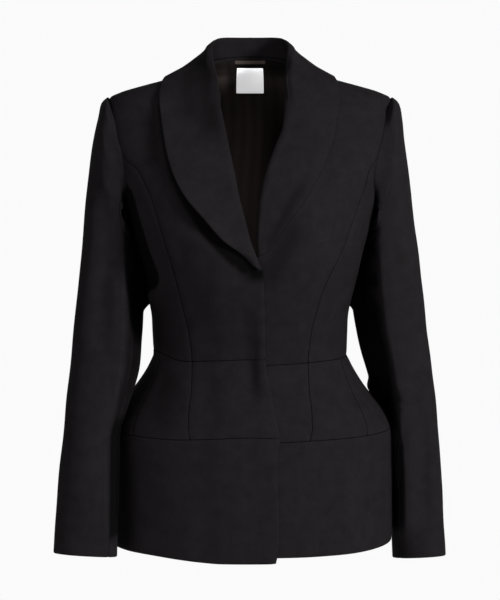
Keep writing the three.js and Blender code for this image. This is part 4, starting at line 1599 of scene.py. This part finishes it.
    def grid(self, side: Side) -> Grid:
        """The collar of one side as a fine grid, with rows from the centre back down.

        Args:
            side: the wearer's side.

        Returns:
            Rows of points, in millimetres.
        """
        rows = list(self.back_rows) + list(self.lapels[side])
        fine = []
        for row in rows:
            section = self.section(row, side)
            run = np.concatenate([[0], np.cumsum(np.linalg.norm(np.diff(section, axis=0), axis=1))])
            roll = run[2] / run[-1]
            stand = np.linspace(0, roll, self.stand_columns)
            fall = roll + (1 - roll) * np.linspace(0, 1, self.fall_columns + 1)[1:]
            fine.append(spline(section, 0, at=np.concatenate([stand, fall])))
        grid = self.clear(spline(np.array(fine), self.rows_count), side)
        grid[0, :, 0] = 0.0
        grid = np.concatenate([grid[:1], mix(grid[:1], grid[1:2], 0.03), grid[1:]])
        grid[..., 0] *= side.value
        return grid

    def clear(self, grid: Grid, side: Side) -> Grid:
        """Keeps the fall of the collar off the cloth below it.

        Args:
            grid: rows of points, in millimetres.
            side: the wearer's side.

        Returns:
            The moved points.
        """
        column = np.arange(grid.shape[1])[None, :]
        falls = smooth((column - self.stand_columns) / 3)
        off = self.torso.stand_off(side.value * grid[..., 0], grid[..., 2], side)
        height = (self.wall / 2 + self.clearance + off) * falls - 60 * (1 - falls)
        return self.torso.rest_above(grid, height, True)

    def cloth_of(self, side: Side) -> Cloth:
        """The collar of one side as a piece of cloth.

        Args:
            side: the wearer's side.

        Returns:
            The cloth.
        """
        grid = self.grid(side)
        out = directions(grid, np.zeros(3))
        outer = grid + out * self.wall / 2
        return Cloth(
            f"collar_{side.label}_cloth",
            f"collar_{side.label}",
            outer,
            out,
            thickness=self.wall,
            free="tr",
            edge_thickness=self.edge_thickness[side],
            pushes=self.creases.get(side, ()),
        )

    def pieces(self) -> list[Cloth]:
        """Both halves of the collar."""
        return [self.cloth_of(side) for side in Side]


# The sleeves


SleeveRow = tuple[tuple[float, float], tuple[float, float], float, float, float, float]


@dataclass
class Sleeves:
    """The two-piece sleeves: rings from the armhole to the cuff.

    Each ring gives its outer and inner point seen from the front, the place of its middle
    from front to back, its half depth, how far its inner side lies back, and how far its
    front is raised.
    """

    torso: Torso
    square: float = 2.15
    boxy: float = 1.3  # how much squarer the inner half is near the armhole
    boxy_level: float = -330.0
    drawn_in: float = 7.0  # how far the front corner lies in towards the body, below the armpit
    tucked_in: float = 13.0  # how far the inner side lies in behind that corner
    hip_drawn_in: float = 6.0  # how far the left sleeve's inner side lies in at the hip
    drawn_levels = Reach(-270, -150, 40, 44)
    tucked_levels = Reach(-334, -170, 20, 36)
    hip_levels = Reach(-512, -425, 28, 18)
    seams: tuple[float, float] = (math.pi * (0.5 + 4 / 14), math.pi * (0.5 + 10 / 14))
    tuck: float = 2.4
    inner_from: float = 188.0  # nearer the centre than this is the inner side, below the armpit
    rows_count: int = 168
    creases: dict[Side, tuple[Crease, ...]] = field(default_factory=dict)
    unevenness: Unevenness = Unevenness(0.35)

    corner = {  # level, distance from the centre and depth of the sleeve's inner front edge
        Side.RIGHT: (
            (-645, 186, -134),
            (-585, 186, -133),
            (-525, 185.5, -129),
            (-483, 185, -120),
            (-466, 181, -113),
            (-445, 176, -104),
            (-405, 168, -88),
            (-358, 164, -73),
            (-305, 164, -62),
            (-262, 164, -49),
            (-230, 164, -50),
            (-200, 165, -54),
            (-170, 166, -59),
            (-143, 166, -62),
            (-116, 166, -61),
            (-90, 166, -52),
        ),
        Side.LEFT: (
            (-669, 206, -27),
            (-597, 204, -30),
            (-530, 202, -35),
            (-485, 200, -40),
            (-445, 197, -43),
            (-405, 190, -45),
            (-358, 180, -46),
            (-305, 173, -47),
            (-262, 170, -46),
            (-230, 168, -49),
            (-200, 168, -53),
            (-170, 168, -58),
            (-143, 168, -62),
            (-116, 168, -61),
            (-90, 168, -52),
        ),
    }
    painted_shade_levels = {  # low and high level, and how dark the painted shade on the inner side is between them
        Side.RIGHT: ((-625, -455, 0.92), (-480, -325, 0.45), (-345, -160, 0.92)),
        Side.LEFT: ((-640, -160, 0.82),),
    }

    rings = {
        Side.RIGHT: (
            ((191, -44.6), (171.8, -188.5), 0, 58, 0, 0),
            ((197.5, -50.5), (174, -192), 0, 60.5, 0, 0),
            ((202.3, -70), (174, -199), 0, 62, 4, 0),
            ((208.3, -100), (171, -211), -1, 62.5, 10, 0),
            ((215.7, -145), (161.5, -228), -3, 61, 32, 0),
            ((220.7, -195), (153, -250), -5, 58.5, 36, 0),
            ((225.4, -248), (145, -280), -9, 55.5, 40, 0),
            ((228.4, -277), (140.3, -300), -12, 53.5, 42, 0),
            ((231, -305), (143.5, -322), -16, 51.5, 30, 0),
            ((236.3, -358), (145, -362), -29, 48.5, 16, 0),
            ((240.2, -405), (148, -405), -46, 46, 6, 0),
            ((243, -445), (159, -445), -65, 43.5, 0, 0),
            ((245.8, -483), (170, -480), -83, 41.5, 0, 0),
            ((249.9, -525), (171.5, -522), -93, 40, 0, 2),
            ((254.8, -585), (173, -586), -98, 38.5, 0, 4),
            ((259, -637.8), (175.4, -643.5), -100, 37.5, 0, 7),
        ),
        Side.LEFT: (
            ((191, -44.6), (171.8, -188.5), 0, 58, 0, 0),
            ((197.5, -50.5), (174, -192), 0, 60.5, 0, 0),
            ((202.2, -70), (174, -199), 1, 62, 4, 0),
            ((205.8, -100), (171.5, -211), 1, 62.5, 10, 0),
            ((212.5, -145), (161.5, -228), 0, 61, 30, 0),
            ((218.6, -195), (153, -250), 1, 58.5, 30, 0),
            ((225.6, -248), (145, -280), 0, 55.5, 31, 0),
            ((229.4, -277), (140.3, -300), 0, 53.5, 31, 0),
            ((233, -305), (139.5, -322), -1, 51.5, 26, 0),
            ((239.3, -358), (145.5, -366), -1, 49, 22, 0),
            ((245.8, -405), (157.5, -409), 0, 48, 24, 0),
            ((251.5, -445), (169, -445), 3, 48.5, 37, 0),
            ((255.8, -485), (191, -485), 6, 49, 36, 0),
            ((259.9, -530), (194, -530), 8, 45.5, 34, 0),
            ((264.2, -597), (195, -599), 8, 41, 28, 3),
            ((269, -669), (197, -675.5), 8, 38.5, 12, 7),
        ),
    }

    def ring_grid(self, side: Side, ways: Grid) -> tuple[Grid, Grid]:
        """The sleeve's rings as a fine grid, and the middle of each.

        Args:
            side: the wearer's side.
            ways: the ways round each ring, in radians.

        Returns:
            Rows of points, and a middle for each row, in millimetres.
        """
        turn, z = self.torso.armhole_at(np.mod(ways, 2 * math.pi))
        start = self.torso.at_turn(turn, z)
        middle = start.mean(axis=0)
        tucked = mix(start, middle, self.tuck / np.linalg.norm(start - middle, axis=1, keepdims=True))
        tucked[:, 0] -= 1.4 * self.tuck
        rings = [tucked, mix(tucked, start + [0.8, 0, 0], 0.8)]
        for number, (outer, inner, middle, depth, lean, rise) in enumerate(self.rings[side]):
            boxy = self.boxy * float(smooth((inner[1] - self.boxy_level) / 60))
            power = 2 / np.where(np.cos(ways) < 0, self.square + boxy, self.square)
            turned = ways - self.torso.armhole_lean * max(0.0, 1 - number / 5) * np.sin(ways)
            across = np.sign(np.cos(ways)) * np.abs(np.cos(ways)) ** power
            front = np.sign(np.sin(turned)) * np.abs(np.sin(turned)) ** power
            x = (outer[0] + inner[0]) / 2 + (outer[0] - inner[0]) / 2 * across
            level = (outer[1] + inner[1]) / 2 + (outer[1] - inner[1]) / 2 * across
            y = middle - depth * front + lean * (1 - across) / 2
            rings.append(np.stack([x, y, level + rise * front], axis=-1))
        grid = self.fill_armpit(spline(np.array(rings), self.rows_count), side)
        grid[..., 0] *= side.value
        return grid, grid.mean(axis=1)

    def fill_armpit(self, grid: Grid, side: Side) -> Grid:
        """Gives the sleeve a flat front beside the body, and tucks its inner side in behind it.

        Args:
            grid: rows of points, in millimetres.
            side: the wearer's side.

        Returns:
            The moved points.
        """
        x, y, z = grid[..., 0], grid[..., 1], grid[..., 2]
        row = np.arange(len(grid))[:, None]
        below = smooth(row / 5) * smooth((len(grid) - 1 - row) / 16)
        at, corner, ahead = np.array(self.corner[side]).T
        edge = np.interp(z, at, corner)
        middle = y.mean(axis=1, keepdims=True)
        draw = smooth((self.inner_from - x) / 18) * self.drawn_levels.share(z) * smooth((-12 - y) / 22)
        x = x - self.drawn_in * draw * below
        if side is Side.LEFT:
            inward = smooth((x.mean(axis=1, keepdims=True) - x) / 10)
            x = x - self.hip_drawn_in * self.hip_levels.share(z) * inward
        beyond = smooth((x - edge + 11) / 13)
        near = smooth((edge + 38 - x) / 26) * smooth((middle - 8 - y) / 22)
        y = y + np.minimum(0, np.interp(z, at, ahead) - y) * near * below * beyond
        low = smooth((-158 - z) / 44) * below
        y = y + np.maximum(0, middle - 4 - y) * (1 - beyond) * low
        inner = smooth((self.inner_from - x) / 18) * smooth((y + 34) / 26) * self.tucked_levels.share(z)
        return np.stack([x - self.tucked_in * inner * below, y, z], axis=-1)

    def pieces_of(self, side: Side) -> list[Cloth]:
        """The upper and the under sleeve of one side.

        Args:
            side: the wearer's side.

        Returns:
            The two cloths.
        """
        front, back = self.seams
        under = np.linspace(front, back, 30)
        upper = np.linspace(back, front + 2 * math.pi, 74)
        ways = np.concatenate([under[:-1], upper[:-1]])
        grid, hubs = self.ring_grid(side, ways)
        out = directions(grid, hubs, closed=True)
        # The inner side behind the front edge is painted dark as shade, between levels.
        edge = tuple((level, place - 1.5) for level, place, _ in self.corner[side])
        dark = tuple(
            Hollow(side, edge, (low, high), beyond=False, darkness=darkness)
            for low, high, darkness in self.painted_shade_levels[side]
        )
        pushes = (self.unevenness,) + dark + self.creases.get(side, ())
        parts = {"under": np.arange(0, 30), "upper": np.concatenate([np.arange(29, len(ways)), [0]])}
        return [
            Cloth(
                f"sleeve_{part}_{side.label}_cloth",
                f"sleeve_{part}_{side.label}",
                grid[:, columns].copy(),
                out[:, columns].copy(),
                sewn="lr",
                free="t",
                pushes=pushes,
            )
            for part, columns in parts.items()
        ]

    def pieces(self) -> list[Cloth]:
        """Both sleeves."""
        return [piece for side in Side for piece in self.pieces_of(side)]


# Inside the back of the neck


@dataclass(frozen=True)
class Pleats(Push):
    """Loose upright folds of the lining, flattened where the label is sewn on, and the painted shade on the
    lining.
    """

    amount: float = 0.4
    label_edge: tuple[float, float] = (20.0, -40.0)

    def push(self, points: Grid, out: Grid) -> Grid:
        """How far the folds move each point outwards, in millimetres.

        Args:
            points: the points, in millimetres.
            out: not used.

        Returns:
            The distance for each point.
        """
        x, z = points[..., 0], points[..., 2]
        wander = x + 5 * np.sin(z * 0.021) + 3 * np.sin(z * 0.043 + 1.0)
        folds = np.sin(wander * 0.34) + 0.7 * np.sin(wander * 0.19 + 1.3) + 0.4 * np.sin(wander * 0.61 + 0.4)
        beside = smooth((np.abs(x) - self.label_edge[0]) / 8)
        below = smooth((self.label_edge[1] - z) / 10)
        return self.amount * folds / 1.6 * np.maximum(beside, below)

    def shade(self, points: Grid, out: Grid) -> Grid:
        """How much painted shade each point has: painted shadow of the collar at its top, painted shade along
        the folds and towards the wearer's left.

        Args:
            points: the points, in millimetres.
            out: not used.

        Returns:
            A share from 0 to 1 for each point.
        """
        x, z = points[..., 0], points[..., 2]
        folds = 0.5 + 0.5 * np.sin((x + 4 * np.sin(z * 0.02)) * 0.42 + 0.8)
        return 1 - (1 - 0.9 * smooth((z + 26) / 22)) * (1 - 0.22 * folds) * (1 - 0.5 * smooth((x - 8) / 30))


@dataclass
class NeckLining:
    """The satin lining of the back, with the plain label and the hanger loop sewn to it."""

    torso: Torso
    inset: float = 3.8
    thickness: float = 0.7
    half_neck: float = 58.0
    rise: float = 7.0
    dip: float = 8.0
    label: tuple[float, float, float] = (18.5, -37.0, -4.5)
    loop: tuple[float, float, float] = (22.0, 1.2, 5.2)
    patch_inset: float = 5.0
    patch_thickness: float = 0.6

    def lining(self) -> Cloth:
        """The lining from the neck seam to the waist.

        Returns:
            The cloth.
        """
        x = np.linspace(-self.half_neck, self.half_neck, 120)[None, :]
        r = 1 - (1 - np.linspace(0, 1, 110)[:, None]) ** 2
        reach = mix(2.05, 1.0, r**1.5)
        z = mix(self.torso.waist + 6, self.rise - self.dip * (x / self.half_neck) ** 2, r)
        limit = self.torso.bodice_at(z)[..., 0] * 0.93
        wide = np.clip(x * reach, -limit, limit)
        face = np.stack([wide, self.torso.on_face(wide, z, Face.BACK), z], axis=-1)
        out = self.torso.outward(face)
        return Cloth(
            "back_lining_cloth",
            "back_lining",
            face - out * self.inset,
            out,
            thickness=self.thickness,
            pushes=(Pleats(),),
        )

    def sewn_on(self, node: str, half: float, low: float, high: float, bow: float) -> Cloth:
        """A flat piece on the inner side of the lining, which stands off by bow at its middle.

        Args:
            node: the node of the piece.
            half: half its width, in millimetres.
            low: the level of its lower edge.
            high: the level of its upper edge.
            bow: how far its middle stands off, in millimetres.

        Returns:
            The cloth.
        """
        across = np.linspace(-1, 1, 36)[None, :]
        level = np.linspace(low, high, 12)[:, None]
        x, z = np.broadcast_arrays(half * across, level)
        face = np.stack([x, self.torso.on_face(x, z, Face.BACK), z + 0.0], axis=-1)
        out = self.torso.outward(face)
        depth = self.patch_inset + bow * (1 - across[..., None] ** 2)
        return Cloth(f"{node}_cloth", node, face - out * depth, out, thickness=self.patch_thickness)

    def hanger_loop(self) -> Cloth:
        """The narrow loop that the jacket hangs up by."""
        return self.sewn_on("hanger_loop", *self.loop, bow=1.6)

    def pieces(self) -> list[Cloth]:
        """The lining and the label."""
        return [self.lining(), self.sewn_on("label", *self.label, bow=0.15)]


# Creases, listed one by one


# A crease's dark value is painted shade along it.
PANEL_CREASES: dict[str, tuple[Crease, ...]] = {
    "front_right": (
        Crease((-137, -52), (-134, -148), 15, -3.2, bow=3, dark=0.42),
        Crease((-120, -118), (-104, -196), 13, 1.4),
        Crease((-62, -222), (-112, -292), 22, -2.6, bow=-6, dark=0.15),
        Crease((-30, -262), (-58, -330), 18, 1.2),
        Crease((0, -300), (11, -452), 7, -0.9, dark=0.7),
        Crease((-58, -350), (-20, -384), 12, -0.9),
    ),
    "yoke_front_right": (
        Crease((0, -300), (11, -452), 7, -0.9, dark=0.7),
        Crease((-48, -398), (-60, -452), 11, -1.2),
        Crease((-26, -402), (-32, -470), 15, 1.1),
    ),
    "band_front_right": (
        Crease((10, -496), (12, -640), 14, -1.0),
        Crease((-60, -500), (-78, -640), 26, 0.9),
        Crease((-118, -500), (-126, -645), 22, -0.8),
    ),
    "front_left": (
        Crease((70, -190), (12, -300), 14, -2.8, bow=-4, dark=0.42),
        Crease((98, -100), (84, -186), 18, 1.0),
        Crease((52, -296), (88, -382), 22, 1.0),
        Crease((118, -64), (112, -150), 20, -1.1),
    ),
    "side_left": (Crease((108, -300), (104, -378), 9, 0.9),),
    "yoke_front_left": (Crease((58, -398), (62, -470), 15, -0.9),),
    "yoke_side_front_left": (Crease((96, -400), (112, -474), 14, 0.8),),
    "yoke_side_front_right": (Crease((-104, -392), (-126, -486), 22, -1.6, dark=0.4),),
    "yoke_side_right": (Crease((-136, -388), (-150, -490), 20, -0.6, dark=0.5),),
    "side_right": (Crease((-120, -300), (-126, -392), 20, -0.6, dark=0.3),),
    "band_front_left": (
        Crease((78, -502), (86, -640), 24, -0.8),
        Crease((128, -500), (134, -640), 20, 0.8),
    ),
    "back_right": (
        Crease((-52, -60), (-70, -190), 26, -1.6, face=Face.BACK),
        Crease((-30, -250), (-46, -372), 16, 1.2, face=Face.BACK),
        Crease((-20, -330), (-52, -352), 9, -1.0, face=Face.BACK),
    ),
    "back_left": (
        Crease((58, -72), (66, -205), 24, -1.4, face=Face.BACK),
        Crease((26, -238), (48, -366), 15, 1.1, face=Face.BACK),
        Crease((16, -342), (50, -358), 9, -1.0, face=Face.BACK),
    ),
    "yoke_back_right": (Crease((-30, -398), (-44, -474), 13, -1.2, face=Face.BACK),),
    "yoke_back_left": (Crease((38, -400), (46, -470), 14, -1.0, face=Face.BACK),),
    "band_back": (
        Crease((-74, -500), (-84, -640), 24, -1.0, face=Face.BACK),
        Crease((48, -498), (58, -640), 26, -0.9, face=Face.BACK),
    ),
}
# A crease's dark value is painted shade along it.
COLLAR_CREASES: dict[Side, tuple[Crease, ...]] = {
    Side.RIGHT: (
        Crease((-58, 40), (-46, -120), 19, -1.6, bow=-2, dark=0.6),
        Crease((-88, 12), (-76, -84), 13, -1.4, dark=0.35),
        Crease((-92, -60), (-60, -176), 20, 0.9),
    ),
    Side.LEFT: (
        Crease((78, -136), (14, -252), 8, -1.6, bow=-2, dark=0.5),
        Crease((84, -40), (72, -120), 16, 0.7),
    ),
}
SLEEVE_CREASES: dict[Side, tuple[Crease, ...]] = {
    Side.RIGHT: (
        Crease((-196, -140), (-206, -300), 16, 1.0),
        Crease((-214, -330), (-186, -372), 11, -1.5),
        Crease((-222, -352), (-190, -398), 12, 1.2),
        Crease((-224, -404), (-200, -436), 10, -1.2),
        Crease((-208, -460), (-216, -600), 15, 0.9),
        Crease((-190, -226), (-212, -262), 12, -1.0),
        Crease((-218, -340), (-186, -384), 12, -1.4, face=Face.BACK),
        Crease((-222, -386), (-190, -424), 11, 1.2, face=Face.BACK),
        Crease((-196, -150), (-208, -290), 18, -1.2, face=Face.BACK),
    ),
    Side.LEFT: (
        Crease((212, -150), (222, -196), 8, -1.6),
        Crease((200, -210), (212, -330), 16, 0.9),
        Crease((236, -344), (206, -388), 12, -1.3),
        Crease((240, -392), (214, -424), 11, 1.1),
        Crease((232, -470), (240, -610), 15, -0.9),
        Crease((234, -350), (204, -392), 12, -1.4, face=Face.BACK),
        Crease((240, -398), (210, -432), 11, 1.2, face=Face.BACK),
        Crease((200, -160), (214, -300), 18, -1.1, face=Face.BACK),
    ),
}


# Light, floor and camera


@dataclass
class Studio:
    """A bright plain studio, with the camera where the photograph was taken from."""

    camera_place: tuple[float, float, float] = (0.0, -2.5, -0.019)
    camera_pitch: float = 6.78
    lens: float = 111.9
    floor_level: float = -1.6
    wall: float = 0.96
    room: float = 0.32

    def camera(self) -> None:
        """Sets the camera."""
        data = bpy.data.cameras.new("camera")
        data.lens = self.lens
        data.sensor_width = 36
        data.clip_start, data.clip_end = 0.05, 30
        camera = bpy.data.objects.new("camera", data)
        camera.location = self.camera_place
        camera.rotation_euler = (math.radians(90 - self.camera_pitch), 0, 0)
        bpy.context.collection.objects.link(camera)
        bpy.context.scene.camera = camera

    def light(self, name: str, place: tuple[float, float, float], size: float, power: float) -> None:
        """Adds a soft area light that faces the jacket.

        Args:
            name: the light's name.
            place: where it stands, in metres.
            size: its width, in metres.
            power: its power, in watts.
        """
        data = bpy.data.lights.new(name, "AREA")
        data.shape = "RECTANGLE"
        data.size, data.size_y = size, size * 1.3
        data.energy = power
        lamp = bpy.data.objects.new(name, data)
        lamp.location = place
        aim = Vector((0, 0, -0.33)) - Vector(place)
        lamp.rotation_euler = aim.to_track_quat("-Z", "Y").to_euler()
        bpy.context.collection.objects.link(lamp)

    def lights(self) -> None:
        """Sets a main light from the viewer's right and weaker ones around."""
        self.light("key", (2.2, -1.9, 0.7), 0.6, 320)
        self.light("top", (0.4, -1.2, 2.2), 0.7, 40)
        self.light("fill", (-1.8, -2.4, 0.1), 1.2, 75)

    def world(self) -> None:
        """Sets a studio room: a white wall behind the jacket and a dimmer room round it."""
        world = bpy.data.worlds.new("studio")
        world.use_nodes = True
        tree = world.node_tree
        place = tree.nodes.new("ShaderNodeTexCoord")
        split = tree.nodes.new("ShaderNodeSeparateXYZ")
        wall = tree.nodes.new("ShaderNodeMapRange")
        back = tree.nodes["Background"]
        wall.interpolation_type = "SMOOTHSTEP"
        ramp = {"From Min": 0.8, "From Max": 0.93, "To Min": self.room, "To Max": self.wall}
        for socket, value in ramp.items():
            wall.inputs[socket].default_value = value
        tree.links.new(place.outputs["Generated"], split.inputs["Vector"])
        tree.links.new(split.outputs["Y"], wall.inputs["Value"])
        tree.links.new(wall.outputs["Result"], back.inputs["Strength"])
        back.inputs["Color"].default_value = colour(1.0, 1.0, 1.0)
        bpy.context.scene.world = world

    def floor(self) -> None:
        """Lays the pale floor below the jacket."""
        z = self.floor_level
        points = np.array([(-3.0, -3.0, z), (3.0, -3.0, z), (3.0, 2.4, z), (-3.0, 2.4, z)])
        ground = mesh_object("floor", points, np.array([[0, 1, 2, 3]]), points[:, :2])
        paint = {"Base Color": colour(0.86, 0.86, 0.86), "Roughness": 0.8, "Specular IOR Level": 0.2}
        ground.data.materials.append(Nodes("floor_paint").finish(paint))

    def build(self) -> None:
        """Sets up the whole studio."""
        bpy.context.scene.view_settings.view_transform = "Standard"
        self.camera()
        self.lights()
        self.world()
        self.floor()


# The jacket


class Jacket:
    """All the cloth of the jacket, dressed."""

    def __init__(self, finishes: Finishes) -> None:
        """Keeps the finishes and the torso that all the pieces share."""
        self.finishes = finishes
        self.torso = Torso()

    def cloths(self) -> list[Cloth]:
        """Every piece of cloth.

        Returns:
            The cloths.
        """
        makers = (
            BodyPanels(self.torso, creases=PANEL_CREASES),
            ShawlCollar(self.torso, creases=COLLAR_CREASES),
            Sleeves(self.torso, creases=SLEEVE_CREASES),
            NeckLining(self.torso),
        )
        return [cloth for maker in makers for cloth in maker.pieces()]

    def slot_of(self, node: str) -> str:
        """The record's material slot of a node."""
        satins = {"back_lining": "lining_satin", "hanger_loop": "lining_satin", "label": "label_satin"}
        return satins.get(node, "wool_crepe")

    def build(self) -> None:
        """Makes and dresses every piece."""
        loop = self.dress(NeckLining(self.torso).hanger_loop())[0]
        for cloth in self.cloths():
            piece, (width, length, area) = self.dress(cloth)
            sewn_on = [loop] if cloth.node == "back_lining" else []

    def dress(self, cloth: Cloth) -> tuple[bpy.types.Object, tuple[float, float, float]]:
        """Makes one piece, in place of its solid, with its finish.

        Args:
            cloth: the piece of cloth.

        Returns:
            The object, and the width, length and area of its cut.
        """
        size = cloth.size()
        piece = cloth.build()
        slot = self.slot_of(cloth.node)
        piece.data.materials.append(self.finishes.of(slot))
        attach(piece, "root")
        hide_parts(cloth.node)
        LOG.info("%s: %.3f by %.3f m, %d faces", cloth.name, size[0], size[1], len(piece.data.polygons))
        return piece, size


def main() -> None:
    """Builds the studio and the jacket."""
    Studio().build()
    Jacket(Finishes()).build()


if __name__ == "__main__":
    main()
